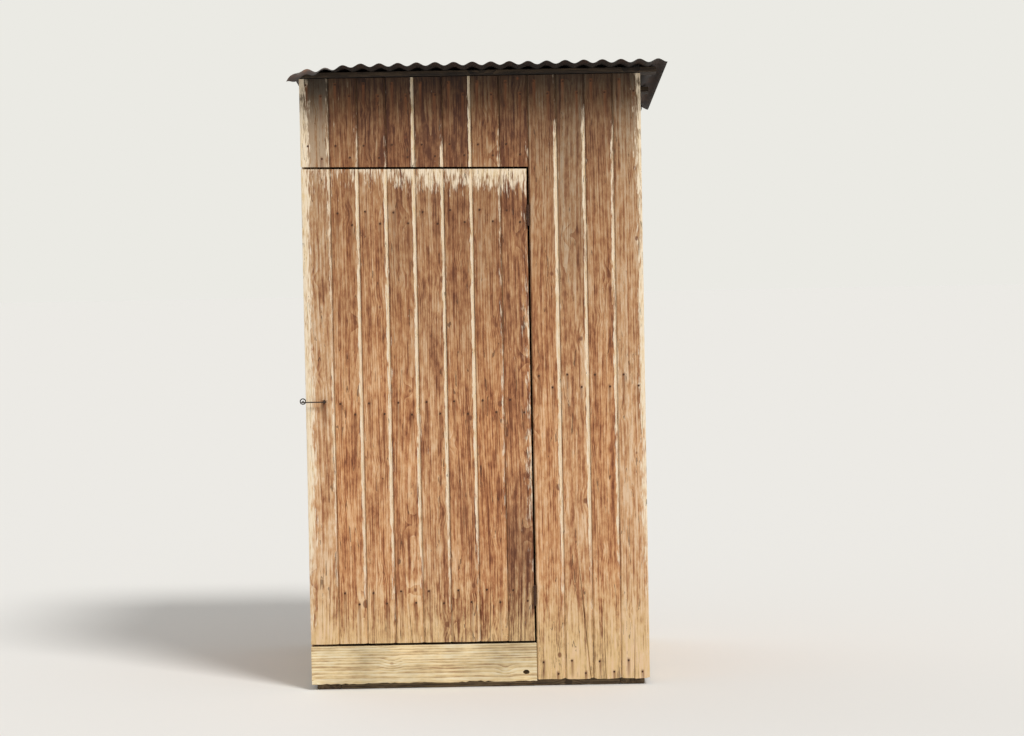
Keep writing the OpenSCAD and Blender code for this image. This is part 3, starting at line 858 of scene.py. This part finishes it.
def even_joints(length, first=BOARD_FACE):
    """Places of the joints along a wall, its two ends included. The first joint may come early."""
    joints = [0.0, first]
    while joints[-1] + BOARD_FACE < length - 0.01:
        joints.append(joints[-1] + BOARD_FACE)
    return joints + [length]


def door_joints():
    low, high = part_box("door_boards")
    return [i * BOARD_FACE for i in range(DOOR_BOARDS)] + [high.x - low.x]


def wall_top(y):
    """Height of the tops of the wall boards at a depth y of the building, under the purlins."""
    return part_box("front_right_wall")[1].z - (y - FRONT) * math.tan(ROOF_SLOPE)


def fixed(height):
    return lambda x: height


# Nails


def finish_nails(nail, name, places, body):
    """Joins copies of a nail, one at each place matrix, as one rusted piece, and removes the nail itself."""
    nails = []
    for place in places:
        twin = copy_of(nail, name)
        twin.data.transform(place)
        nails.append(twin)
    bpy.data.objects.remove(nail)
    finish_piece(join(nails, name), bpy.data.materials["nail_rust"], body)


def nail_heads(name, spots, place, body):
    """Heads of the nails at spots in a wall's own space, each a little domed and turned at random."""
    sizes = bpy.context.scene.outhouse_nails
    rng = random.Random(len(spots))
    head = add_primitive(bpy.ops.mesh.primitive_cylinder_add, vertices=10, radius=sizes.radius,
                         depth=2 * sizes.proud, rotation=(math.pi / 2, 0, 0))
    bpy.ops.object.mode_set(mode="EDIT")
    pick(head, "FACE", lambda f: f.normal.y < -0.9)
    bpy.ops.mesh.inset(thickness=sizes.radius * 0.3)
    bpy.ops.transform.translate(value=(0, -sizes.proud * 0.35, 0))
    bpy.ops.object.mode_set(mode="OBJECT")
    finish_nails(head, name, [
        place @ Matrix.Translation(spot) @ Matrix.Rotation(rng.uniform(0, math.tau), 4, "Y")
        @ Matrix.Rotation(rng.uniform(-0.08, 0.08), 4, "X") for spot in spots], body)


def nails_along(joints, heights, rng):
    """Two nails in each board at each height, the left one higher, a few millimetres off their marks."""
    inset = bpy.context.scene.outhouse_nails.inset / BOARD_FACE
    spread = 0.003
    found = []
    for a, b in zip(joints, joints[1:]):
        for h in heights:
            for side, share in ((1, inset), (-1, 1 - inset)):
                found.append((a + (b - a) * share + rng.uniform(-1, 1) * spread, FACE_UNEVEN,
                              h((a + b) / 2) + side * NAIL_STAGGER + rng.uniform(-1, 1) * spread))
    return found


def door_nails():
    """Places of the nails that go through the door's boards into its ledges, in the front's own space."""
    nails = nails_along(door_joints(), [fixed(h) for h in DOOR_NAILS], random.Random(5))
    return [nail for nail in nails if LEFT + nail[0] > LEDGE_START]


def clenched_points(name, spots, place, body):
    """Points of the nails where they come out of a ledge, each bent over and hammered flat."""
    radius = 0.0015
    point = add_primitive(bpy.ops.mesh.primitive_cylinder_add, vertices=8, radius=radius, depth=0.004,
                          rotation=(math.pi / 2, 0, 0))
    bpy.ops.object.mode_set(mode="EDIT")
    pick(point, "FACE", lambda f: f.normal.y > 0.9)
    bpy.ops.mesh.spin(steps=4, angle=math.radians(-86), center=(0, 0.002, -1.6 * radius), axis=(1, 0, 0))
    bpy.ops.mesh.extrude_region_move(TRANSFORM_OT_translate={"value": (0, -0.0008, -0.011)})
    bpy.ops.transform.resize(value=(0.35, 0.35, 0.35))
    bpy.ops.object.mode_set(mode="OBJECT")
    rng = random.Random(31)
    finish_nails(point, name, [
        place @ Matrix.Translation(spot) @ Matrix.Rotation(rng.uniform(-0.5, 0.5), 4, "Y")
        for spot in spots], body)


class OUTHOUSE_OT_nail_finish(bpy.types.Operator):
    """Makes the rust of the nail heads, which the boards' operators use"""
    bl_idname = "outhouse.nail_finish"
    bl_label = "Nail Rust"

    def execute(self, context):
        rusted_iron("nail_rust", "2A1A12", "6A4228")
        return {"FINISHED"}


# Walls and door


class OUTHOUSE_OT_door_boards(bpy.types.Operator):
    """Lays the eight boards of the door, flush with the wall and rubbed along their top"""
    bl_idname = "outhouse.door_boards"
    bl_label = "Door Boards"

    def execute(self, context):
        low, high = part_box("door_boards")
        rise = high.z + DOOR_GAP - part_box("front_header_wall")[0].z
        eye = sum(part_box("hook_eye"), Vector()) / 2
        material = stained_boards("door_boards_stained", DOOR_NAILS, False, (eye.x, eye.z))

        def damp_and_shade(i, z):
            return DOOR_DAMP_HIGH[i] * smooth_step(0.9, 1.5, z) + DOOR_DAMP_LOW[i] * smooth_step(0.9, 0.5, z)

        def rub(i, under_top):
            return DOOR_RUB[i] * smooth_step(0.15, 0.0, under_top)

        planks = lay_boards("door_planks", door_joints(), low.z,
                            lambda x: high.z - rise * x / (HINGE_LINE - LEFT), DOOR_WEAR, 3, ragged=0.25,
                            looks=(FRONT_TONES, FRONT_REDS), damp_and_shade=damp_and_shade, rub=rub, splits=DOOR_SPLITS)
        planks.data.transform(FRONT_PLACE)
        finish_piece(planks, material, "door", ["door_boards"])
        nail_heads("door_nails", door_nails(), FRONT_PLACE, "door")
        return {"FINISHED"}


def lay_header():
    """The boards over the door. Their feet follow the door's top, which rises to its free edge."""
    material = stained_boards("header_boards_stained", HEADER_NAILS, True)
    low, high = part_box("front_header_wall")
    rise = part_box("door_boards")[1].z + DOOR_GAP - low.z
    joints = [i * BOARD_FACE for i in range(DOOR_BOARDS + 1)]

    # A painted shadow of the bent roof corner, at the top of the corner board.
    def damp_and_shade(i, z):
        return (i == 0) * smooth_step(2.15, 2.23, z)

    planks = lay_boards("header_planks", joints, low.z, fixed(high.z), HEADER_WEAR, 11, ragged=0.0,
                        square_ends=(True, False), looks=(HEADER_TONES, FRONT_REDS), damp_and_shade=damp_and_shade, splits={})
    p = points_of(planks)
    lowest = np.clip((high.z - p[:, 2]) / (high.z - low.z), 0, 1)
    p[:, 2] += lowest * rise * (1 - p[:, 0] / (HINGE_LINE - LEFT))
    set_points(planks, p)
    planks.data.transform(FRONT_PLACE)
    finish_piece(planks, material, "frame", ["front_header_wall"])
    heights = [fixed(h) for h in (*HEADER_NAILS, high.z - TOP_NAIL_DROP)]
    nail_heads("header_nails", nails_along(joints, heights, random.Random(6)), FRONT_PLACE, "frame")


class OUTHOUSE_OT_wall_boards(bpy.types.Operator):
    """Lays the boards of the fixed walls: beside and over the door, both sides and the back"""
    bl_idname = "outhouse.wall_boards"
    bl_label = "Wall Boards"

    def execute(self, context):
        lay_header()
        material = stained_boards("wall_boards_stained", WALL_NAILS, True)
        side_low, side_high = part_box("left_wall")
        right_low, right_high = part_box("right_wall")
        run = side_high.y - side_low.y
        left_first = run - math.floor(run / BOARD_FACE) * BOARD_FACE

        # Each wall's joints, top, left lower corner and turn, and the node that it stands for.
        walls = {
            "right_front": (even_joints(RIGHT - HINGE_LINE), fixed(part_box("front_header_wall")[1].z),
                            (HINGE_LINE, FRONT, 0), 0, "front_right_wall"),
            "back": (even_joints(RIGHT - LEFT), fixed(wall_top(BACK)), (RIGHT, BACK, 0), 180, "back_wall"),
            "left": (even_joints(run, left_first), lambda x: wall_top(side_high.y - x),
                     (LEFT, side_high.y, 0), -90, "left_wall"),
            "right": (even_joints(right_high.y - right_low.y), lambda x: wall_top(right_low.y + x),
                      (RIGHT, right_low.y, 0), 90, "right_wall"),
        }

        def damp_and_shade(i, z):
            return RIGHT_DAMP[i] * smooth_step(1.2, 1.7, z)

        plain = {"wear": PLAIN_WEAR}
        seen = {"wear": RIGHT_WEAR, "square_ends": (False, True), "damp_and_shade": damp_and_shade, "splits": RIGHT_SPLITS,
                "looks": (FRONT_TONES[DOOR_BOARDS:], FRONT_REDS[DOOR_BOARDS:])}
        for number, (name, (joints, line, corner, turn, node)) in enumerate(walls.items()):
            place = Matrix.Translation(corner) @ Matrix.Rotation(math.radians(turn), 4, "Z")
            planks = lay_boards(name + "_planks", joints, BOARD_FOOT, line, seed=20 + number,
                                **(seen if name == "right_front" else plain))
            planks.data.transform(place)
            finish_piece(planks, material, "frame", [node])
            heights = [fixed(h) for h in WALL_NAILS] + [lambda x: line(x) - TOP_NAIL_DROP]
            nails = nails_along(joints, heights, random.Random(7 + number))
            nail_heads(name + "_nails", nails, place, "frame")
        return {"FINISHED"}


class OUTHOUSE_OT_kick_board(bpy.types.Operator):
    """Lays the bleached board across the foot of the doorway, with a knot hole near its right end"""
    bl_idname = "outhouse.kick_board"
    bl_label = "Kick Board"

    def execute(self, context):
        low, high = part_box("kick_board")
        columns, rows = 60, 5
        board = add_box(low, high)
        edit_whole()
        bpy.ops.mesh.bevel(offset=0.002, segments=2, affect="EDGES")
        for i in range(1, columns):
            cut((low.x + (high.x - low.x) * i / columns, 0, 0), (1, 0, 0))
        for i in range(1, rows):
            cut((0, 0, low.z + (high.z - low.z) * i / rows), (0, 0, 1))
        bpy.ops.object.mode_set(mode="OBJECT")
        p = points_of(board)
        along, up = p[:, 0] - low.x, (p[:, 2] - low.z) / (high.z - low.z)
        worn = np.array([0.3 + noise.noise(Vector((a * 9, 3.0, 1.0)))
                         + 0.8 * noise.noise(Vector((a * 60, 3.0, 2.0))) for a in along])
        p[:, 2] += np.clip(worn, 0, 1.2) * 0.006 * (1 - smooth_step(0.0, 0.2, up))
        p[:, 1] += np.where(p[:, 1] < low.y + 0.01, 0.0012 * (1 - (2 * up - 1) ** 2), 0)
        set_points(board, p)

        hole = add_primitive(
            bpy.ops.mesh.primitive_cylinder_add, vertices=14, radius=0.009, depth=0.08, scale=(1.35, 1, 1),
            rotation=(math.pi / 2, 0, 0), location=(high.x - 0.040, low.y, low.z + 0.034))
        subtract(board, hole)
        bpy.data.objects.remove(hole)
        p = points_of(board)
        set_attribute(board, "grain", (p[:, 2] - 0.02, p[:, 1] - low.y + 0.05, p[:, 0] + 40))
        set_attribute(board, "board", (p[:, 2] - low.z, p[:, 0] - low.x, np.zeros(len(p))))
        board.name = "kick_plank"
        material = bare_timber("bleached_kick_board", "B28E66", "F1D7A4", "FFF2D2", 0.88, 0.0012, 0.009)
        finish_piece(board, material, "frame", ["kick_board"])
        return {"FINISHED"}


# Timbers


def nodes_of(slot):
    """Names of the CAD nodes that have this material slot."""
    return [row["node"] for row in frame["record"]["subparts"] if row["material_slot"] == slot]


def timber(node, material, body, worn=0.0025):
    """A sawn timber in place of its CAD node, with worn arrises and its own grain along its longest edge."""
    piece = copy_of(frame["nodes"][node], node + "_timber")
    make_active(piece)
    if piece.data.has_custom_normals:
        bpy.ops.mesh.customdata_custom_splitnormals_clear()
    edit_whole()
    bpy.ops.mesh.remove_doubles(threshold=NEAR)
    bpy.ops.mesh.dissolve_limited(angle_limit=math.radians(1))
    bpy.ops.object.mode_set(mode="OBJECT")
    spots = [v.co for v in piece.data.vertices]
    edges = (spots[a] - spots[b] for a, b in piece.data.edge_keys)
    long = max(edges, key=lambda edge: edge.length).normalized()
    side = long.cross((0, 1, 0) if abs(long.y) < 0.9 else (0, 0, 1)).normalized()
    face = long.cross(side)
    middle = sum(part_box(node), Vector()) / 2
    rounded = piece.modifiers.new("Worn arris", "BEVEL")
    rounded.width = worn
    rounded.segments = 2
    rounded.limit_method = "ANGLE"
    apply_modifiers(piece)
    p = points_of(piece) - middle
    rng = random.Random(node)
    across, through, along = p @ side, p @ face, p @ long
    set_attribute(piece, "grain", (
        across + rng.uniform(-0.02, 0.02), through + rng.uniform(0.05, 0.10), along + rng.uniform(10, 90)))
    set_attribute(piece, "board", (
        np.clip(across + BOARD_FACE / 2, 0, BOARD_FACE), along, np.full(len(p), rng.uniform(-0.5, 0.5))))
    return finish_piece(piece, material, body, [node])


class OUTHOUSE_OT_frame_timbers(bpy.types.Operator):
    """Dresses the sills, posts, girts, plates, rafters and purlins"""
    bl_idname = "outhouse.frame_timbers"
    bl_label = "Frame Timbers"

    def execute(self, context):
        sills = bare_timber("damp_sill_timber", "2E2319", "5C4B38", "8A7659", 0.9)
        aged = bare_timber("aged_frame_timber", "5A4128", "94734D", "C2A077")
        # The purlins are painted near black for the shade they stand in, under the roof sheets.
        sooty = bare_timber("shade_darkened_purlin_timber", "15100C", "2E231A", "574633", 0.9)
        for node in nodes_of("sill_timber"):
            timber(node, sills, "frame", 0.005)
        for node in nodes_of("frame_timber"):
            timber(node, sooty if node == "purlins" else aged, "frame")
        return {"FINISHED"}


class OUTHOUSE_OT_floor(bpy.types.Operator):
    """Lays the floor boards across the sills, cut round the posts"""
    bl_idname = "outhouse.floor"
    bl_label = "Floor"

    def execute(self, context):
        low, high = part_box("floor_boards")
        width = (high.y - low.y) / FLOOR_BOARDS
        half_gap = 0.0012
        posts = [copy_of(frame["nodes"][n], n) for n in (
            "front_left_post", "front_right_post", "back_left_post", "back_right_post", "door_post")]
        cutter = join(posts, "post_cutter")
        edit_whole()
        bpy.ops.mesh.remove_doubles(threshold=NEAR)
        bpy.ops.object.mode_set(mode="OBJECT")
        boards = []
        for i in range(FLOOR_BOARDS):
            rng = random.Random(60 + i)
            y = low.y + i * width
            board = add_box((low.x, y + half_gap, low.z),
                            (high.x, y + width - half_gap, high.z - rng.uniform(0, 0.0008)))
            edit_whole()
            bpy.ops.mesh.bevel(offset=0.0018, segments=2, affect="EDGES")
            bpy.ops.object.mode_set(mode="OBJECT")
            subtract(board, cutter)
            p = points_of(board)
            set_attribute(board, "grain", (
                p[:, 1] - y + rng.uniform(-0.1, 0.1), p[:, 2] - low.z + rng.uniform(0.02, 0.09),
                p[:, 0] + 7 * i))
            set_attribute(board, "board", (
                (p[:, 1] - y) / width * BOARD_FACE, p[:, 0], np.full(len(p), rng.uniform(-1, 1))))
            boards.append(board)
        bpy.data.objects.remove(cutter)
        material = bare_timber("worn_floor_boards", "54402B", "8A7052", "B79D7A", 0.75)
        finish_piece(join(boards, "floor_planks"), material, "frame", ["floor_boards"])
        return {"FINISHED"}


class OUTHOUSE_OT_ledges(bpy.types.Operator):
    """Dresses the ledges and braces on the back of the door, and clenches the nails over the ledges"""
    bl_idname = "outhouse.ledges"
    bl_label = "Ledges and Braces"

    def execute(self, context):
        material = bare_timber("aged_ledge_timber", "5E4329", "997650", "C7A67D")
        for node in nodes_of("ledge_timber"):
            timber(node, material, "door", 0.003)
        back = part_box("lower_ledge")[1].y
        clenched_points("clenched_nails", [(x, back, z) for x, _, z in door_nails()],
                        Matrix.Translation((LEFT, 0, 0)), "door")

        # The braces are nailed from the inside: two nails at each end, side by side, and two between.
        spots = []
        slack, aside = 0.055, 0.012
        for node in ("lower_brace", "upper_brace"):
            low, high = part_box(node)
            for share, step in ((0.07, -1), (0.12, 1), (0.36, 0), (0.64, 0), (0.88, -1), (0.93, 1)):
                x = low.x + slack + share * (high.x - low.x - 2 * slack)
                spots.append((-x + step * aside, 0, low.z + share * (high.z - low.z)))
        inside = Matrix.Translation((0, back, 0)) @ Matrix.Rotation(math.pi, 4, "Z")
        nail_heads("brace_nails", spots, inside, "door")
        return {"FINISHED"}


# Roof


def roof_place(x, slope_y, h):
    """World points from x, a distance down the slope from over the front boards, and a height off it."""
    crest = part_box("right_roof_sheet")[1].z
    front = crest - EAVE * math.tan(ROOF_SLOPE) - (WAVE_DEPTH + SHEET_THICK) * math.cos(ROOF_SLOPE)
    return np.stack([x, FRONT + slope_y * math.cos(ROOF_SLOPE) + h * math.sin(ROOF_SLOPE),
                     front - slope_y * math.sin(ROOF_SLOPE) + h * math.cos(ROOF_SLOPE)], 1)


def corner_droop(x, y):
    """Drop of the left sheet at x from its left and y from its front edge. It is nothing over the walls."""
    sizes = bpy.context.scene.outhouse_roof
    held = EAVE - 0.006
    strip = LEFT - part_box("left_roof_sheet")[0].x
    fall = np.clip(1 - x / sizes.droop_run - y / sizes.droop_depth, 0, 1) ** 1.6
    return sizes.droop * fall * np.maximum(np.clip(1 - y / held, 0, 1), np.clip(1 - x / strip, 0, 1))


class OUTHOUSE_OT_roof_sheets(bpy.types.Operator):
    """Makes the two corrugated sheets. The left one laps over the right, with its front corner bent down"""
    bl_idname = "outhouse.roof_sheets"
    bl_label = "Roof Sheets"

    def execute(self, context):
        sizes = context.scene.outhouse_roof
        material = rusted_sheet()
        slope_front = -EAVE / math.cos(ROOF_SLOPE)
        slope_back = (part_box("right_roof_sheet")[1].y - FRONT) / math.cos(ROOF_SLOPE) - (
            WAVE_DEPTH + SHEET_THICK) * math.tan(ROOF_SLOPE)
        for side in ("left", "right"):
            low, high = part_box(side + "_roof_sheet")
            sheet = add_primitive(bpy.ops.mesh.primitive_grid_add, size=1, y_subdivisions=48,
                                  x_subdivisions=int(SHEET_WAVES * WAVE_POINTS))
            p = points_of(sheet)
            x = (p[:, 0] + 0.5) * SHEET_WAVES * WAVE_WIDTH
            y = slope_front + (p[:, 1] + 0.5) ** 1.35 * (slope_back - slope_front)
            crest = (1 + np.cos(math.tau * x / WAVE_WIDTH)) / 2
            h = WAVE_DEPTH * crest
            if side == "left":
                drop = corner_droop(x, y - slope_front)
                h += SHEET_THICK - drop * math.cos(ROOF_SLOPE)
                y += drop * math.sin(ROOF_SLOPE)
            dents = np.array([noise.noise(Vector(((a + low.x) * 7, b * 3.5, 0.3))) for a, b in zip(x, y)])
            h += sizes.dent * np.minimum(dents, 0.2)
            rim = (p[:, 1] < -0.5 + NEAR) | (p[:, 1] > 0.5 - NEAR)
            nibble = np.array([abs(noise.noise(Vector(((a + low.x) * 55, 2.0, 8.1)))) for a in x])
            y += np.where(rim, -np.sign(p[:, 1]) * nibble * EATEN_RIM, 0)
            set_attribute(sheet, "crest", crest)
            set_points(sheet, roof_place(x + low.x, y, h))
            thick = sheet.modifiers.new("Sheet iron", "SOLIDIFY")
            thick.thickness = SHEET_THICK
            thick.offset = 1
            apply_modifiers(sheet)

            # The second half of the points is the underside. It and the strips along the eaves get a painted
            # shade.
            p = points_of(sheet)
            eaves = smooth_step(SHADED_EAVE_STRIP, 0.0, np.minimum(p[:, 1] - low.y, high.y - p[:, 1]))
            set_attribute(sheet, "sooty", np.maximum(eaves, np.arange(len(p)) >= len(x)))
            sheet.name = side + "_corrugated_sheet"
            finish_piece(sheet, material, "frame", [side + "_roof_sheet"], smooth=50)
        return {"FINISHED"}


class OUTHOUSE_OT_roof_nails(bpy.types.Operator):
    """Drives a nail with a washer into every second crest over each purlin"""
    bl_idname = "outhouse.roof_nails"
    bl_label = "Roof Nails"

    def execute(self, context):
        washer = add_primitive(
            bpy.ops.mesh.primitive_cone_add, vertices=12, radius1=context.scene.outhouse_nails.washer,
            radius2=0.004, depth=0.0022, location=(0, 0, 0.0010))
        dome = add_primitive(
            bpy.ops.mesh.primitive_uv_sphere_add, segments=10, ring_count=6, radius=0.0046,
            location=(0, 0, 0.0018), scale=(1, 1, 0.6))
        rng = random.Random(12)
        x0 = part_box("left_roof_sheet")[0].x
        places = []
        for row in (FRONT + PURLIN_INSET, (FRONT + BACK) / 2, BACK - PURLIN_INSET):
            for crest in range(1, ROOF_CRESTS, 2):
                y = (row - FRONT) / math.cos(ROOF_SLOPE) + rng.uniform(-0.008, 0.008)
                lift = WAVE_DEPTH + SHEET_THICK * (2 if crest <= SHEET_WAVES else 1)
                spot = roof_place(np.array([x0 + crest * WAVE_WIDTH]), np.array([y]), np.array([lift]))[0]
                places.append(Matrix.Translation(spot) @ Matrix.Rotation(-ROOF_SLOPE, 4, "X")
                              @ Matrix.Rotation(rng.uniform(0, math.tau), 4, "Z"))
        finish_nails(join([washer, dome], "roof_nail"), "roof_nails", places, "frame")
        return {"FINISHED"}


class OUTHOUSE_OT_ironwork(bpy.types.Operator):
    """Gives the hinges, the hook and its eyes their rusted finishes"""
    bl_idname = "outhouse.ironwork"
    bl_label = "Ironwork"

    def execute(self, context):
        finishes = {"hinge_iron": rusted_iron("rusted_hinge_iron", "20140E", "5A3823"),
                    "wire_iron": rusted_iron("dull_wire_iron", "1D1815", "4C3C31", 0.0015)}
        for slot, finish in finishes.items():
            for name in nodes_of(slot):
                node = frame["nodes"][name]
                node.data.materials.clear()
                node.data.materials.append(finish)
        return {"FINISHED"}


# Stage


def soft_daylight():
    """An even white world, which the camera and gloss see as a pale backdrop."""
    world = bpy.data.worlds.new("soft_daylight")
    bpy.context.scene.world = world
    world.use_nodes = True
    sky = world.node_tree
    background = sky.nodes["Background"]
    background.inputs["Color"].default_value = (1, 1, 1, 1)
    background.inputs["Strength"].default_value = 0.5
    backdrop = add_node(sky, "Background", {"Color": hex_colour("EBEAE4"), "Strength": 1.0})
    path = add_node(sky, "LightPath")
    seen = add_node(sky, "Math", (path.outputs["Is Camera Ray"], path.outputs["Is Glossy Ray"]),
                    operation="MAXIMUM")
    mixed = add_node(sky, "MixShader", (seen, background, backdrop))
    sky.links.new(first_output(mixed), sky.nodes["World Output"].inputs["Surface"])


class OUTHOUSE_OT_stage(bpy.types.Operator):
    """Lays the pale floor, and sets the lamps and the camera"""
    bl_idname = "outhouse.stage"
    bl_label = "Stage"

    def execute(self, context):
        floor = add_primitive(bpy.ops.mesh.primitive_plane_add, size=160)
        floor.name = "studio_floor"
        material, _, shader = new_material("pale_studio_floor", 0.9)
        shader.inputs["Base Color"].default_value = hex_colour("E6E4DF")
        shader.inputs["Specular IOR Level"].default_value = 0.0
        floor.data.materials.append(material)
        soft_daylight()
        for name, (azimuth, elevation, spread, strength) in LAMPS.items():
            lamp = bpy.data.lights.new(name, "SUN")
            lamp.angle = math.radians(spread)
            lamp.energy = strength
            holder = bpy.data.objects.new(name, lamp)
            holder.rotation_euler = (math.radians(90 - elevation), 0, math.radians(azimuth))
            context.scene.collection.objects.link(holder)

        view = context.scene.outhouse_camera
        lens = bpy.data.cameras.new("camera")
        lens.lens = view.lens
        lens.sensor_width = 36
        lens.clip_end = 200
        camera = bpy.data.objects.new("camera", lens)
        camera.matrix_world = (
            Matrix.Translation(((LEFT + RIGHT) / 2 + view.aside, FRONT - view.distance, view.height))
            @ Matrix.Rotation(math.pi / 2 + view.pitch, 4, "X") @ Matrix.Rotation(-view.roll, 4, "Z"))
        context.scene.collection.objects.link(camera)
        context.scene.camera = camera
        context.scene.view_settings.view_transform = "Standard"
        return {"FINISHED"}


OPERATORS = (OUTHOUSE_OT_nail_finish, OUTHOUSE_OT_door_boards, OUTHOUSE_OT_wall_boards,
             OUTHOUSE_OT_kick_board, OUTHOUSE_OT_frame_timbers, OUTHOUSE_OT_floor, OUTHOUSE_OT_ledges,
             OUTHOUSE_OT_roof_sheets, OUTHOUSE_OT_roof_nails, OUTHOUSE_OT_ironwork, OUTHOUSE_OT_stage)


class OUTHOUSE_PT_panel(bpy.types.Panel):
    """Lists the outhouse's pieces"""
    bl_idname = "OUTHOUSE_PT_panel"
    bl_label = "Wooden Outhouse"
    bl_space_type = "VIEW_3D"
    bl_region_type = "UI"
    bl_category = "Outhouse"

    def draw(self, context):
        for operator in OPERATORS:
            self.layout.operator(operator.bl_idname)


GROUPS = {"outhouse_boards": BoardSizes, "outhouse_nails": NailSizes, "outhouse_wood": WoodColours,
          "outhouse_roof": RoofSizes, "outhouse_camera": CameraView}
CLASSES = (*GROUPS.values(), *OPERATORS, OUTHOUSE_PT_panel)


def register():
    for kind in CLASSES:
        bpy.utils.register_class(kind)
    for name, kind in GROUPS.items():
        setattr(bpy.types.Scene, name, bpy.props.PointerProperty(type=kind))


def unregister():
    for name in GROUPS:
        delattr(bpy.types.Scene, name)
    for kind in reversed(CLASSES):
        bpy.utils.unregister_class(kind)


def main():
    register()
    for operator in OPERATORS:
        group, name = operator.bl_idname.split(".")
        getattr(getattr(bpy.ops, group), name)()


if __name__ == "__main__":
    main()
